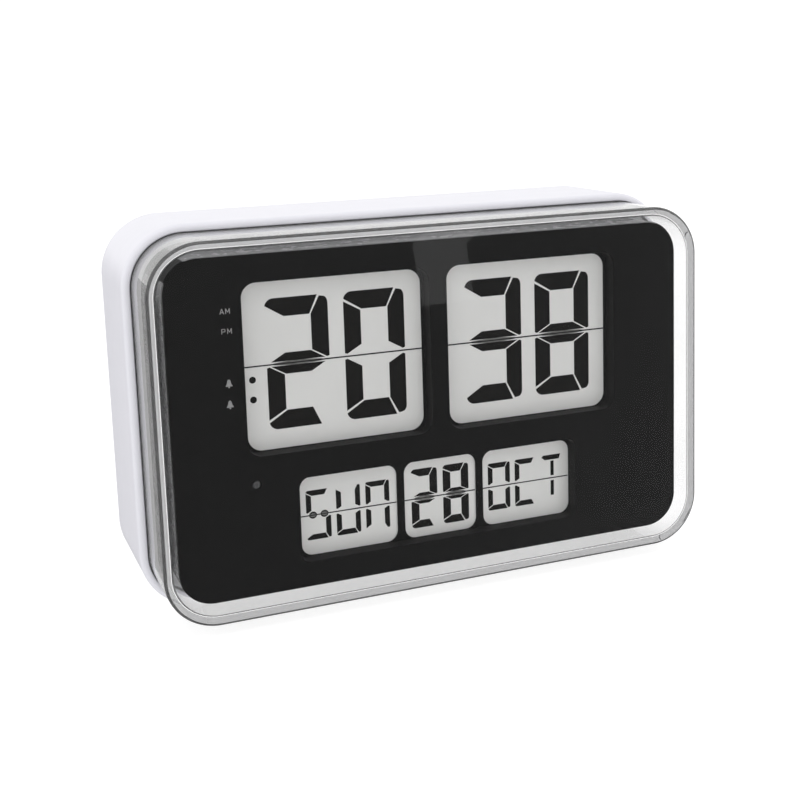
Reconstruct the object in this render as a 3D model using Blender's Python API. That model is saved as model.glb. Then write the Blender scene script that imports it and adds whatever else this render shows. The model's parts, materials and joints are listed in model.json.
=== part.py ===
"""Battery desk clock whose liquid-crystal numerals imitate flip cards.

A white rear casing and a deep clear front cover meet at a seam. Inside the cover a glossy
black mask frames two liquid-crystal panels. The batteries, keys, slide switches and buzzer
are reached from the back. Dimensions are in millimetres until a mesh is written in metres.
The front faces -Y, +X is to the right seen from the front, and the feet stand on Z = 0.
"""
import math

import bmesh
import bpy
from mathutils import Vector

MM = 0.001
GAP = 0.3                     # clearance kept between neighbouring pieces

# Clear cover, the piece that sets the clock's face
COVER_WIDTH = 200.0
COVER_HEIGHT = 127.0
COVER_RADIUS = 18.0
COVER_WALL = 2.5
COVER_SIDE_DEPTH = 27.0       # visible depth of the clear side wall
COVER_TONGUE = 3.0            # length that slips inside the casing's mouth
COVER_EDGE_ROUND = 1.2

# White rear casing
TOTAL_DEPTH = 78.0
LEDGE = 3.0                   # the casing stands this far outside the cover, all round
CASING_WALL = LEDGE - GAP
CASING_EDGE_ROUND = 0.5
REAR_ROUND = 7.0
FOOT_PROUD = 0.8

FRONT_Y = -TOTAL_DEPTH / 2
BACK_Y = TOTAL_DEPTH / 2
SEAM_Y = FRONT_Y + COVER_SIDE_DEPTH
BACK_INNER_Y = BACK_Y - 2.5
CASING_WIDTH = COVER_WIDTH + 2 * LEDGE
CASING_HEIGHT = COVER_HEIGHT + 2 * LEDGE
CASING_RADIUS = COVER_RADIUS + LEDGE
CENTRE_Z = FOOT_PROUD + CASING_HEIGHT / 2

# Black mask and the display windows in it, measured from the centre of the face
MASK_FRONT_Y = FRONT_Y + 6.5
MASK_WIDTH = 188.5
MASK_HEIGHT = 115.8
MASK_RADIUS = 12.0
MASK_PLATE = 2.0
MASK_WALL = 1.8
COLLAR_WALL = 1.2
DISPLAY_X = -0.3              # the display sits slightly left of the face's centre
TIME_Z = CENTRE_Z + 19.0
TIME_WINDOW = (65.6, 58.2)
TIME_WINDOW_RADIUS = 5.0
TIME_WINDOW_PITCH = 71.9
CALENDAR_Z = CENTRE_Z - 34.3
CALENDAR_HEIGHT = 29.5
CALENDAR_RADIUS = 3.2
CALENDAR_WINDOWS = (37.0, 27.4, 34.8)     # day name, date and month
CALENDAR_RIB = 2.75
CALENDAR_WIDTH = sum(CALENDAR_WINDOWS) + 2 * CALENDAR_RIB
SENSOR_X = -66.8
SENSOR_Z = CENTRE_Z - 19.4

# Display stack behind the mask
LCD_FRONT_Y = MASK_FRONT_Y + 6.3
GLASS = 1.1
LCD_LEDGE = 3.0
BEZEL_THICKNESS = 0.4
GUIDE_THICKNESS = 3.0
BOARD_FRONT_Y = SEAM_Y - 4.0
BOARD_THICKNESS = 1.6
MAIN_BOARD = (178.0, 102.0)
BOARD_SCREW_X = 83.0
BOARD_SCREW_DZ = 45.0
BOARD_BOSS_RADIUS = 3.0
MASK_LUG_X = 60.0
SENSOR_HOLE_RADIUS = 1.5

# Case screws run from the back into pillars on the chassis frame
CASE_SCREW_X = 86.0
CASE_SCREW_DZ = 50.0
BOSS_RADIUS = 5.2
BOSS_BORE = 3.6
BOSS_HOLE = 1.7
BOSS_SEAT_Y = 12.0
BOSS_SEAT = 3.0               # thickness under the screw's head
PILLAR_RADIUS = 4.0
WIRE_OPENING = (156.0, 84.0)
CASE_SCREW = (2.9, 1.2, 14.0)             # radii of head and shank, length
BOARD_SCREW = (2.2, 0.9, 7.0)

# Keys and slide switches in a recessed panel on the back
KEY_Z = CENTRE_Z + 34.0
KEY_PITCH = 17.0
KEY_PANEL = (122.0, 17.0)
KEY_PANEL_DEPTH = 2.2
KEY_PANEL_Y = BACK_Y - KEY_PANEL_DEPTH
KEY_CAP_RADIUS = 3.6
KEY_CAP_PROUD = 1.2
KEY_PANEL_WALL = 2.3          # thickness of the casing behind the recess
KEY_FLANGE_RADIUS = 4.7
KEY_FLANGE = 0.9
PLUNGER_RADIUS = 1.5
PLUNGER_REACH = 3.9           # from the panel's inside to the plunger's tip
KNOB = (4.0, 4.4)
SLIDE_TRAVEL = 3.0
SWITCH_DEPTH = 3.5
KEY_BOARD = (120.0, 15.0)
KEY_BOARD_Y = 26.0
KEY_SCREW_X = 42.5
KEY_COLUMNS = {               # in key pitches from the middle
    "snooze_button": -1,
    "mode_button": 0,
    "set_button": 1,
    "up_button": 2,
    "down_button": 3,
}
SLIDE_COLUMNS = {"alarm_slide": -3, "light_slide": -2}

# Battery bay for three AA cells lying side by side, with a hinged door
CELL_RADIUS = 7.25
CELL_LENGTH = 50.5
CELL_PITCH = 15.2
BAY_Z = 44.0
BAY_HALF_X = 29.0
BAY_HALF_Z = 23.6
BAY_FLOOR_Y = 21.2
BAY_WALL = 1.6
DOOR_HALF_X = 33.0
DOOR_THICKNESS = 2.0
DOOR_BOTTOM_Z = 17.4
DOOR_LATCH_Z = 21.0
CELL_Y = BACK_Y - DOOR_THICKNESS - GAP - 0.6 - CELL_RADIUS
CELL_TIP_X = BAY_HALF_X - 1.1
CELL_NUB = 1.0
PLATE_THICKNESS = 0.5
HINGE_Y = BACK_Y - 1.6
HINGE_Z = 71.1
HINGE_BARREL = 1.5
HINGE_PIN = 0.8
HINGE_PIN_REACH = 1.6         # of the pins beyond the door's ends
HINGE_CLEARANCE = 0.4

BUZZER_X = 66.0
BUZZER_Z = 44.0
BUZZER_RADIUS = 9.5
SOUND_HOLE_RADIUS = 1.0
SOUND_HOLE_SPREAD = 4.5

FOOT = (18.0, 8.0)
FOOT_CORNER = 3.0
FOOT_X = 74.0
FOOT_FRONT_Y = -6.8
FOOT_REAR_Y = 27.0

CORNER_STEPS = 8              # segments in a large rounded corner
WINDOW_STEPS = 5              # segments in a window's corner
SMALL_STEPS = 3
ROUND_STEPS = 16              # segments round a small turned piece
SHARP_ANGLE = math.radians(32)


# ---------------------------------------------------------------- materials
def material(name, colour, roughness, metallic=0.0, alpha=1.0):
    mat = bpy.data.materials.new(name)
    mat.use_nodes = True
    shader = mat.node_tree.nodes["Principled BSDF"]
    shader.inputs["Base Color"].default_value = (*colour, 1.0)
    shader.inputs["Roughness"].default_value = roughness
    shader.inputs["Metallic"].default_value = metallic
    shader.inputs["Alpha"].default_value = alpha
    mat.diffuse_color = (*colour, alpha)
    return mat


def make_materials():
    return {
        "white": material("white_plastic", (0.86, 0.86, 0.89), 0.35),
        "inner_white": material("inner_white_plastic", (0.84, 0.84, 0.84), 0.5),
        "clear": material("clear_plastic", (0.95, 0.97, 0.97), 0.03, alpha=0.3),
        "mask": material("black_gloss_plastic", (0.006, 0.006, 0.006), 0.08),
        "bezel": material("black_film", (0.008, 0.008, 0.008), 0.25),
        "lcd": material("lcd_glass", (0.56, 0.56, 0.55), 0.3),
        "guide": material("light_guide_acrylic", (0.8, 0.82, 0.8), 0.15),
        "elastomer": material("contact_elastomer", (0.3, 0.28, 0.27), 0.7),
        "board": material("circuit_board", (0.03, 0.2, 0.09), 0.45),
        "epoxy": material("chip_epoxy", (0.012, 0.012, 0.012), 0.3),
        "metal": material("plated_steel", (0.62, 0.62, 0.64), 0.28, 1.0),
        "led": material("led_package", (0.88, 0.86, 0.75), 0.3),
        "smoked": material("smoked_lens", (0.12, 0.12, 0.13), 0.1),
        "key": material("grey_key_plastic", (0.55, 0.55, 0.58), 0.45),
        "switch": material("switch_plastic", (0.03, 0.03, 0.03), 0.5),
        "cell": material("cell_sleeve", (0.10, 0.22, 0.30), 0.3),
        "brass": material("buzzer_brass", (0.72, 0.55, 0.25), 0.3, 1.0),
        "rubber": material("foot_rubber", (0.32, 0.32, 0.33), 0.85),
        "lead_red": material("red_wire", (0.55, 0.03, 0.03), 0.5),
        "lead_black": material("black_wire", (0.02, 0.02, 0.02), 0.5),
    }


# ---------------------------------------------------------------- outlines
def rounded_rect(centre, size, radius, steps=CORNER_STEPS):
    """Points of a rounded rectangle, anticlockwise, as pairs."""
    half_u = size[0] / 2 - radius
    half_v = size[1] / 2 - radius
    corners = ((1, -1, -90), (1, 1, 0), (-1, 1, 90), (-1, -1, 180))
    points = []
    for side_u, side_v, start in corners:
        for step in range(steps + 1):
            angle = math.radians(start + 90 * step / steps)
            points.append((centre[0] + side_u * half_u + radius * math.cos(angle),
                           centre[1] + side_v * half_v + radius * math.sin(angle)))
    return points


def rectangle(low, high):
    return [(low[0], low[1]), (high[0], low[1]), (high[0], high[1]), (low[0], high[1])]


def circle(centre, radius, steps=ROUND_STEPS):
    points = []
    for step in range(steps):
        angle = 2 * math.pi * (step + 0.5) / steps
        points.append((centre[0] + radius * math.cos(angle), centre[1] + radius * math.sin(angle)))
    return points


# ---------------------------------------------------------------- solids
def place(point, height, axis):
    """A point of an outline, lifted along the axis it is swept on."""
    if axis == "X":
        return Vector((height, point[0], point[1])) * MM
    if axis == "Y":
        return Vector((point[0], height, point[1])) * MM
    return Vector((point[0], point[1], height)) * MM


def loft(name, stations, mat, axis="Y"):
    """One closed solid through outlines of equal point count at given heights."""
    bm = bmesh.new()
    rings = []
    for outline, height in stations:
        rings.append([bm.verts.new(place(point, height, axis)) for point in outline])
    for lower, upper in zip(rings, rings[1:]):
        count = len(lower)
        for i in range(count):
            j = (i + 1) % count
            bm.faces.new((lower[i], lower[j], upper[j], upper[i]))
    bm.faces.new(rings[0])
    bm.faces.new(rings[-1])
    bmesh.ops.recalc_face_normals(bm, faces=bm.faces)
    mesh = bpy.data.meshes.new(name)
    bm.to_mesh(mesh)
    bm.free()
    obj = bpy.data.objects.new(name, mesh)
    bpy.context.scene.collection.objects.link(obj)
    mesh.materials.append(mat)
    return obj


def prism(name, outline, low, high, mat, axis="Y"):
    return loft(name, [(outline, low), (outline, high)], mat, axis)


def box(name, low, high, mat):
    outline = rectangle((low[0], low[2]), (high[0], high[2]))
    return prism(name, outline, low[1], high[1], mat)


def combine(target, added=(), removed=()):
    """Boolean union of the added tools and difference of the removed ones."""
    tools = [(tool, "UNION") for tool in added] + [(tool, "DIFFERENCE") for tool in removed]
    for tool, operation in tools:
        modifier = target.modifiers.new(operation.title(), "BOOLEAN")
        modifier.operation = operation
        modifier.solver = "EXACT"
        modifier.object = tool
    graph = bpy.context.evaluated_depsgraph_get()
    result = bpy.data.meshes.new_from_object(target.evaluated_get(graph))
    target.modifiers.clear()
    target.data = result
    for tool, _ in tools:
        bpy.data.objects.remove(tool)
    bm = bmesh.new()
    bm.from_mesh(result)
    bmesh.ops.remove_doubles(bm, verts=bm.verts, dist=0.002 * MM)
    bmesh.ops.dissolve_limit(bm, angle_limit=math.radians(0.05), verts=bm.verts, edges=bm.edges)
    bm.to_mesh(result)
    bm.free()
    return target


def smooth(obj):
    obj.data.shade_smooth()
    obj.data.set_sharp_from_angle(angle=SHARP_ANGLE)


def copy_of(obj, name):
    twin = bpy.data.objects.new(name, obj.data)
    bpy.context.scene.collection.objects.link(twin)
    return twin


def move(obj, x, y, z):
    obj.location = Vector((x, y, z)) * MM
    return obj


def shell(size, radius, inset):
    """The clock's outline, drawn in by an inset."""
    inner_radius = max(radius - inset, 1.0)
    return rounded_rect((0, CENTRE_Z), (size[0] - 2 * inset, size[1] - 2 * inset), inner_radius)


def arc_stations(size, radius, inset, edge_y, turn, outward, steps):
    """Outlines round an edge of radius turn that ends at edge_y; outward is its Y direction."""
    stations = []
    for step in range(steps + 1):
        angle = math.radians(90 * step / steps)
        drawn_in = inset + turn * (1 - math.cos(angle))
        y = edge_y - outward * turn * (1 - math.sin(angle))
        stations.append((shell(size, radius, drawn_in), y))
    return stations


# ---------------------------------------------------------------- outer shells
def make_clear_cover(mats):
    size = (COVER_WIDTH, COVER_HEIGHT)
    rear_y = SEAM_Y + COVER_TONGUE
    outer = arc_stations(size, COVER_RADIUS, 0, FRONT_Y, COVER_EDGE_ROUND, -1, 3)
    stations = list(reversed(outer))
    stations.append((shell(size, COVER_RADIUS, 0), rear_y))
    stations.append((shell(size, COVER_RADIUS, COVER_WALL), rear_y))
    stations.append((shell(size, COVER_RADIUS, COVER_WALL), FRONT_Y + COVER_WALL + 0.8))
    stations.append((shell(size, COVER_RADIUS, COVER_WALL + 0.8), FRONT_Y + COVER_WALL))
    return loft("clear_cover", stations, mats["clear"])


def casing_bosses(mats):
    """Hollow screw bosses from the back wall; the bore is cut later."""
    bosses = []
    for x, z in case_screw_places():
        outline = circle((x, z), BOSS_RADIUS, ROUND_STEPS)
        bosses.append(prism("boss", outline, BOSS_SEAT_Y - BOSS_SEAT, BACK_INNER_Y + 1.0, mats["white"]))
    return bosses


def case_screw_places():
    places = []
    for side_x in (-1, 1):
        for side_z in (-1, 1):
            places.append((side_x * CASE_SCREW_X, CENTRE_Z + side_z * CASE_SCREW_DZ))
    return places


def board_screw_places():
    places = []
    for side_x in (-1, 1):
        for side_z in (-1, 1):
            places.append((side_x * BOARD_SCREW_X, CENTRE_Z + side_z * BOARD_SCREW_DZ))
    return places


def foot_places():
    return {
        "foot_front_left": (-FOOT_X, FOOT_FRONT_Y),
        "foot_front_right": (FOOT_X, FOOT_FRONT_Y),
        "foot_rear_left": (-FOOT_X, FOOT_REAR_Y),
        "foot_rear_right": (FOOT_X, FOOT_REAR_Y),
    }


def foot_outline(centre, grow):
    return rounded_rect(centre, grown(FOOT, grow), FOOT_CORNER + grow, SMALL_STEPS)


def knob_centre(column):
    """A slide knob rests at the low-X end of its slot."""
    return column * KEY_PITCH - SLIDE_TRAVEL / 2


def make_rear_casing(mats):
    size = (CASING_WIDTH, CASING_HEIGHT)
    white = mats["white"]
    inner_turn = REAR_ROUND - CASING_WALL
    outer = arc_stations(size, CASING_RADIUS, 0, BACK_Y, REAR_ROUND, 1, 5)
    inner = arc_stations(size, CASING_RADIUS, CASING_WALL, BACK_INNER_Y, inner_turn, 1, 3)
    stations = list(reversed(outer))
    stations.append((shell(size, CASING_RADIUS, 0), SEAM_Y + CASING_EDGE_ROUND))
    stations.append((shell(size, CASING_RADIUS, CASING_EDGE_ROUND), SEAM_Y))
    stations.append((shell(size, CASING_RADIUS, CASING_WALL), SEAM_Y))
    stations.extend(inner)
    casing = loft("rear_casing", stations, white)

    bay_low = (-BAY_HALF_X - BAY_WALL, BAY_FLOOR_Y - BAY_WALL, BAY_Z - BAY_HALF_Z - BAY_WALL)
    bay_high = (BAY_HALF_X + BAY_WALL, BACK_INNER_Y + 1, BAY_Z + BAY_HALF_Z + BAY_WALL)
    rim_low = (-DOOR_HALF_X - 3.8, BACK_INNER_Y - 3.3, DOOR_BOTTOM_Z - 3.6)
    rim_high = (DOOR_HALF_X + 3.8, BACK_INNER_Y + 1, HINGE_Z + 5.2)
    added = [
        box("bay_walls", bay_low, bay_high, white),
        box("door_rim", rim_low, rim_high, white),
        prism("key_panel_back", rounded_rect((0, KEY_Z), grown(KEY_PANEL, 2.5), 5.5, SMALL_STEPS),
              KEY_PANEL_Y - KEY_PANEL_WALL, BACK_INNER_Y + 1, white),
        prism("buzzer_ring", circle((BUZZER_X, BUZZER_Z), BUZZER_RADIUS + 1.8, 20),
              BACK_INNER_Y - 4.2, BACK_INNER_Y + 1, white),
    ]
    for side in (-1, 1):
        added.append(prism("key_board_boss", circle((side * KEY_SCREW_X, KEY_Z), 2.8, 12),
                           KEY_BOARD_Y + BOARD_THICKNESS + GAP, KEY_PANEL_Y - 1.5, white))
    added.extend(casing_bosses(mats))

    removed = [
        box("bay", (-BAY_HALF_X, BAY_FLOOR_Y, BAY_Z - BAY_HALF_Z),
            (BAY_HALF_X, BACK_Y + 1, BAY_Z + BAY_HALF_Z), white),
        box("door_recess", (-DOOR_HALF_X - GAP, BACK_Y - DOOR_THICKNESS - GAP, DOOR_BOTTOM_Z - GAP),
            (DOOR_HALF_X + GAP, BACK_Y + 1, HINGE_Z + HINGE_BARREL + HINGE_CLEARANCE), white),
        prism("hinge_trough", circle((HINGE_Y, HINGE_Z), HINGE_BARREL + HINGE_CLEARANCE, 16),
              -DOOR_HALF_X - GAP, DOOR_HALF_X + GAP, white, "X"),
        prism("hinge_sockets", circle((HINGE_Y, HINGE_Z), HINGE_PIN + GAP, 12),
              -DOOR_HALF_X - HINGE_PIN_REACH - 0.6, DOOR_HALF_X + HINGE_PIN_REACH + 0.6, white, "X"),
        prism("thumb_scoop", rounded_rect((0, DOOR_BOTTOM_Z + 1), (14, 7), 3.4, SMALL_STEPS),
              BACK_Y - 1.6, BACK_Y + 1, white),
        prism("key_panel", rounded_rect((0, KEY_Z), KEY_PANEL, 4.0, SMALL_STEPS),
              KEY_PANEL_Y, BACK_Y + 1, white),
        prism("buzzer_seat", circle((BUZZER_X, BUZZER_Z), BUZZER_RADIUS + 0.6, 20),
              BACK_INNER_Y - 5, BACK_INNER_Y, white),
    ]
    for column in KEY_COLUMNS.values():
        removed.append(prism("key_hole", circle((column * KEY_PITCH, KEY_Z), KEY_CAP_RADIUS + GAP, 18),
                             KEY_PANEL_Y - 4, BACK_Y, white))
    for column in SLIDE_COLUMNS.values():
        slot = (KNOB[0] + SLIDE_TRAVEL + 2 * GAP, KNOB[1] + 2 * GAP)
        removed.append(prism("slide_slot", rounded_rect((column * KEY_PITCH, KEY_Z), slot, 0.6, 2),
                             KEY_PANEL_Y - 4, BACK_Y, white))
    for index in range(7):
        angle = math.radians(60 * index)
        spread = 0 if index == 6 else SOUND_HOLE_SPREAD
        centre = (BUZZER_X + spread * math.cos(angle), BUZZER_Z + spread * math.sin(angle))
        removed.append(prism("sound_hole", circle(centre, SOUND_HOLE_RADIUS, 8), BACK_INNER_Y - 1,
                             BACK_Y + 1, white))
    for x, z in case_screw_places():
        removed.append(prism("boss_bore", circle((x, z), BOSS_BORE), BOSS_SEAT_Y, BACK_Y + 1, white))
        removed.append(prism("boss_hole", circle((x, z), BOSS_HOLE, 12), BOSS_SEAT_Y - BOSS_SEAT - 1,
                             BOSS_SEAT_Y + 1, white))
    for side in (-1, 1):
        removed.append(prism("key_board_pilot", circle((side * KEY_SCREW_X, KEY_Z), 1.2, 10),
                             KEY_BOARD_Y, KEY_BOARD_Y + 7.4, white))
    for centre in foot_places().values():
        removed.append(prism("foot_pocket", foot_outline(centre, GAP), 0, FOOT_PROUD + 0.5, white, "Z"))
    return combine(casing, added, removed)


def make_chassis_frame(mats):
    """White frame that closes the casing's mouth and shows as a ledge round the mask."""
    white = mats["inner_white"]
    size = (COVER_WIDTH, COVER_HEIGHT)
    plate = shell(size, COVER_RADIUS, COVER_WALL + GAP)
    flange = shell(size, COVER_RADIUS, 0.1)
    step_y = SEAM_Y + COVER_TONGUE + GAP
    frame = loft("chassis_frame", [(plate, SEAM_Y), (plate, step_y), (flange, step_y),
                                   (flange, step_y + 1.7)], white)
    added = []
    removed = [prism("wire_opening", rounded_rect((0, CENTRE_Z), WIRE_OPENING, 6, SMALL_STEPS),
                     SEAM_Y - 1, step_y + 3, white)]
    for x, z in case_screw_places():
        added.append(prism("pillar", circle((x, z), PILLAR_RADIUS), step_y + 1.0,
                           BOSS_SEAT_Y - BOSS_SEAT - GAP, white))
        removed.append(prism("pilot", circle((x, z), 1.5, 12), -4.0, BOSS_SEAT_Y, white))
    for x, z in mask_lug_places():
        removed.append(box("lug_slot", (x - 5.4, SEAM_Y - 1, z - 1.2), (x + 5.4, step_y + 3, z + 1.2),
                           white))
    return combine(frame, added, removed)


def mask_lug_places():
    rail = MASK_HEIGHT / 2 - MASK_WALL / 2
    places = []
    for x in (-MASK_LUG_X, MASK_LUG_X):
        for side in (-1, 1):
            places.append((x, CENTRE_Z + side * rail))
    return places


# ---------------------------------------------------------------- mask and display
def time_window_centres():
    half = TIME_WINDOW_PITCH / 2
    return [(DISPLAY_X - half, TIME_Z), (DISPLAY_X + half, TIME_Z)]


def calendar_window_centres():
    """Centre of each calendar window, left to right."""
    centres = []
    left = DISPLAY_X - CALENDAR_WIDTH / 2
    for width in CALENDAR_WINDOWS:
        centres.append((left + width / 2, CALENDAR_Z))
        left += width + CALENDAR_RIB
    return centres


def grown(size, amount):
    return (size[0] + 2 * amount, size[1] + 2 * amount)


def make_display_mask(mats):
    black = mats["mask"]
    size = (MASK_WIDTH, MASK_HEIGHT)
    back_y = SEAM_Y - GAP
    plate_back = MASK_FRONT_Y + MASK_PLATE
    mask = loft("display_mask", [
        (shell(size, MASK_RADIUS, 0.5), MASK_FRONT_Y),
        (shell(size, MASK_RADIUS, 0), MASK_FRONT_Y + 0.5),
        (shell(size, MASK_RADIUS, 0), back_y),
        (shell(size, MASK_RADIUS, MASK_WALL), back_y),
        (shell(size, MASK_RADIUS, MASK_WALL), plate_back),
    ], black)
    added = []
    removed = [prism("sensor_hole", circle((SENSOR_X, SENSOR_Z), SENSOR_HOLE_RADIUS, 16),
                     MASK_FRONT_Y - 1, plate_back + 1, black)]
    collar_back = LCD_FRONT_Y - GAP
    for centre in time_window_centres():
        outer = rounded_rect(centre, grown(TIME_WINDOW, COLLAR_WALL), TIME_WINDOW_RADIUS + COLLAR_WALL,
                             WINDOW_STEPS)
        added.append(prism("time_collar", outer, MASK_FRONT_Y + 1, collar_back, black))
        inner = rounded_rect(centre, TIME_WINDOW, TIME_WINDOW_RADIUS, WINDOW_STEPS)
        removed.append(prism("time_window", inner, MASK_FRONT_Y - 1, collar_back + 1, black))
    calendar = (CALENDAR_WIDTH, CALENDAR_HEIGHT)
    centre = (DISPLAY_X, CALENDAR_Z)
    outer = rounded_rect(centre, grown(calendar, COLLAR_WALL), CALENDAR_RADIUS + COLLAR_WALL,
                         WINDOW_STEPS)
    added.append(prism("calendar_collar", outer, MASK_FRONT_Y + 1,
                       collar_back - BEZEL_THICKNESS - GAP, black))
    inner = rounded_rect(centre, calendar, CALENDAR_RADIUS, WINDOW_STEPS)
    removed.append(prism("calendar_window", inner, MASK_FRONT_Y - 1, collar_back, black))
    for x, z in board_screw_places():
        added.append(prism("board_boss", circle((x, z), BOARD_BOSS_RADIUS, 16), MASK_FRONT_Y + 1,
                           BOARD_FRONT_Y - GAP, black))
        removed.append(prism("board_pilot", circle((x, z), 1.2, 10), BOARD_FRONT_Y - 8,
                             BOARD_FRONT_Y, black))
    for x, z in mask_lug_places():
        added.append(box("lug", (x - 5, back_y - 1, z - 0.8), (x + 5, back_y + 5.0, z + 0.8), black))
    return combine(mask, added, removed)


def make_calendar_bezel(mats):
    """Thin black film with three windows, lying on the calendar glass."""
    low_y = LCD_FRONT_Y - GAP - BEZEL_THICKNESS
    outline = rounded_rect((DISPLAY_X, CALENDAR_Z), (CALENDAR_WIDTH + 2.2, CALENDAR_HEIGHT + 2.2),
                           CALENDAR_RADIUS + 1.1, WINDOW_STEPS)
    bezel = prism("calendar_bezel", outline, low_y, low_y + BEZEL_THICKNESS, mats["bezel"])
    removed = []
    for centre, width in zip(calendar_window_centres(), CALENDAR_WINDOWS):
        window = rounded_rect(centre, (width, CALENDAR_HEIGHT), CALENDAR_RADIUS, WINDOW_STEPS)
        removed.append(prism("window", window, low_y - 1, low_y + 2, mats["bezel"]))
    return combine(bezel, (), removed)


def make_lcd(name, centre, size, mats):
    """Two bonded glass plates; the front one overhangs below to carry the contacts."""
    low = (centre[0] - size[0] / 2, centre[1] - size[1] / 2)
    high = (centre[0] + size[0] / 2, centre[1] + size[1] / 2)
    front = rectangle((low[0], low[1] - LCD_LEDGE), high)
    back = rectangle(low, high)
    middle = LCD_FRONT_Y + GLASS
    return loft(name, [(front, LCD_FRONT_Y), (front, middle), (back, middle),
                       (back, middle + GLASS)], mats["lcd"])


def make_display_stack(mats):
    time_size = (TIME_WINDOW_PITCH + TIME_WINDOW[0] + 5.0, TIME_WINDOW[1] + 3.0)
    calendar_size = (CALENDAR_WIDTH + 5.0, CALENDAR_HEIGHT + 3.0)
    made = []
    guide_y = LCD_FRONT_Y + 2 * GLASS + GAP
    for prefix, centre, size in (("time", (DISPLAY_X, TIME_Z), time_size),
                                 ("calendar", (DISPLAY_X, CALENDAR_Z), calendar_size)):
        made.append(make_lcd(prefix + "_lcd", centre, size, mats))
        low = (centre[0] - size[0] / 2 + 1, guide_y, centre[1] - size[1] / 2 + 1)
        high = (centre[0] + size[0] / 2 - 1, guide_y + GUIDE_THICKNESS, centre[1] + size[1] / 2 - 1)
        made.append(box(prefix + "_light_guide", low, high, mats["guide"]))
        ledge_z = centre[1] - size[1] / 2 - LCD_LEDGE / 2
        strip = rounded_rect((centre[0], ledge_z), (size[0] - 8, 2.0), 0.9, 3)
        made.append(prism(prefix + "_contact_strip", strip, LCD_FRONT_Y + GLASS + GAP,
                          BOARD_FRONT_Y - GAP, mats["elastomer"]))
    for name, side in (("backlight_led_left", -1), ("backlight_led_right", 1)):
        x = DISPLAY_X + side * (time_size[0] / 2 + 2.0)
        outline = rounded_rect((x, TIME_Z), (2.8, 9.0), 0.6, 2)
        made.append(prism(name, outline, guide_y, BOARD_FRONT_Y - GAP, mats["led"]))
    return made


def make_sensor(mats):
    """Smoked lens pressed into the mask, with the photodiode behind it."""
    centre = (SENSOR_X, SENSOR_Z)
    plate_back = MASK_FRONT_Y + MASK_PLATE
    lens = loft("sensor_lens", [
        (circle(centre, 0.8, 16), MASK_FRONT_Y - 0.25),
        (circle(centre, 1.2, 16), MASK_FRONT_Y),
        (circle(centre, 1.2, 16), plate_back + GAP),
        (circle(centre, 2.2, 16), plate_back + GAP),
        (circle(centre, 2.2, 16), plate_back + 1.3),
    ], mats["smoked"])
    tip_y = plate_back + 1.6
    diode = loft("light_sensor", [
        (circle(centre, 0.9, 16), tip_y),
        (circle(centre, 1.5, 16), tip_y + 0.8),
        (circle(centre, 1.5, 16), BOARD_FRONT_Y - 1.3),
        (circle(centre, 2.0, 16), BOARD_FRONT_Y - 1.3),
        (circle(centre, 2.0, 16), BOARD_FRONT_Y - GAP),
    ], mats["epoxy"])
    return [lens, diode]


def make_main_board(mats):
    board = prism("main_board", rounded_rect((0, CENTRE_Z), MAIN_BOARD, 3, SMALL_STEPS),
                  BOARD_FRONT_Y, BOARD_FRONT_Y + BOARD_THICKNESS, mats["board"])
    removed = []
    for x, z in board_screw_places():
        removed.append(prism("hole", circle((x, z), 1.3, 12), BOARD_FRONT_Y - 1,
                             BOARD_FRONT_Y + 3, mats["board"]))
    combine(board, (), removed)
    back_y = BOARD_FRONT_Y + BOARD_THICKNESS + GAP
    blob_centre = (10.0, CENTRE_Z + 4.0)
    blob = []
    for step in range(4):
        angle = math.radians(90 * step / 4)
        blob.append((circle(blob_centre, 6.5 * math.cos(angle), 16), back_y + 1.7 * math.sin(angle)))
    chip = loft("controller_chip", blob, mats["epoxy"])
    crystal = loft("quartz_crystal", [
        (circle((back_y + 1.6, CENTRE_Z + 14.0), 1.2, 12), -12.0),
        (circle((back_y + 1.6, CENTRE_Z + 14.0), 1.5, 12), -11.6),
        (circle((back_y + 1.6, CENTRE_Z + 14.0), 1.5, 12), -4.4),
        (circle((back_y + 1.6, CENTRE_Z + 14.0), 1.2, 12), -4.0),
    ], mats["metal"], "X")
    return [board, chip, crystal]


# ---------------------------------------------------------------- screws
def make_screw(name, head_radius, shank_radius, length, mats):
    """Pan-head screw whose head faces +Y, with its seat at the origin and a cross recess."""
    head = 2.0 * head_radius / 2.9
    profile = [
        (head_radius * 0.8, head),
        (head_radius, head * 0.5),
        (head_radius, 0.0),
        (shank_radius, 0.0),
        (shank_radius, -length + shank_radius),
        (shank_radius * 0.3, -length),
    ]
    screw = loft(name, [(circle((0, 0), radius, 12), y) for radius, y in profile], mats["metal"])
    arm = head_radius * 0.5
    width = head_radius * 0.12
    low_y = head * 0.45
    cross = box("cross", (-arm, low_y, -width), (arm, head + 1, width), mats["metal"])
    other = box("other_arm", (-width, low_y, -arm), (width, head + 1, arm), mats["metal"])
    return combine(screw, (), (cross, other))


def make_screws(mats):
    made = []
    case = make_screw("case_screw_1", *CASE_SCREW, mats)
    for index, (x, z) in enumerate(case_screw_places()):
        screw = case if index == 0 else copy_of(case, "case_screw_%d" % (index + 1))
        made.append(move(screw, x, BOSS_SEAT_Y + GAP, z))
    small = make_screw("board_screw_1", *BOARD_SCREW, mats)
    for index, (x, z) in enumerate(board_screw_places()):
        screw = small if index == 0 else copy_of(small, "board_screw_%d" % (index + 1))
        made.append(move(screw, x, BOARD_FRONT_Y + BOARD_THICKNESS + GAP, z))
    for name, side in (("key_board_screw_1", -1), ("key_board_screw_2", 1)):
        screw = copy_of(small, name)
        screw.rotation_euler = (0, 0, math.pi)
        made.append(move(screw, side * KEY_SCREW_X, KEY_BOARD_Y - GAP, KEY_Z))
    return made


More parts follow.
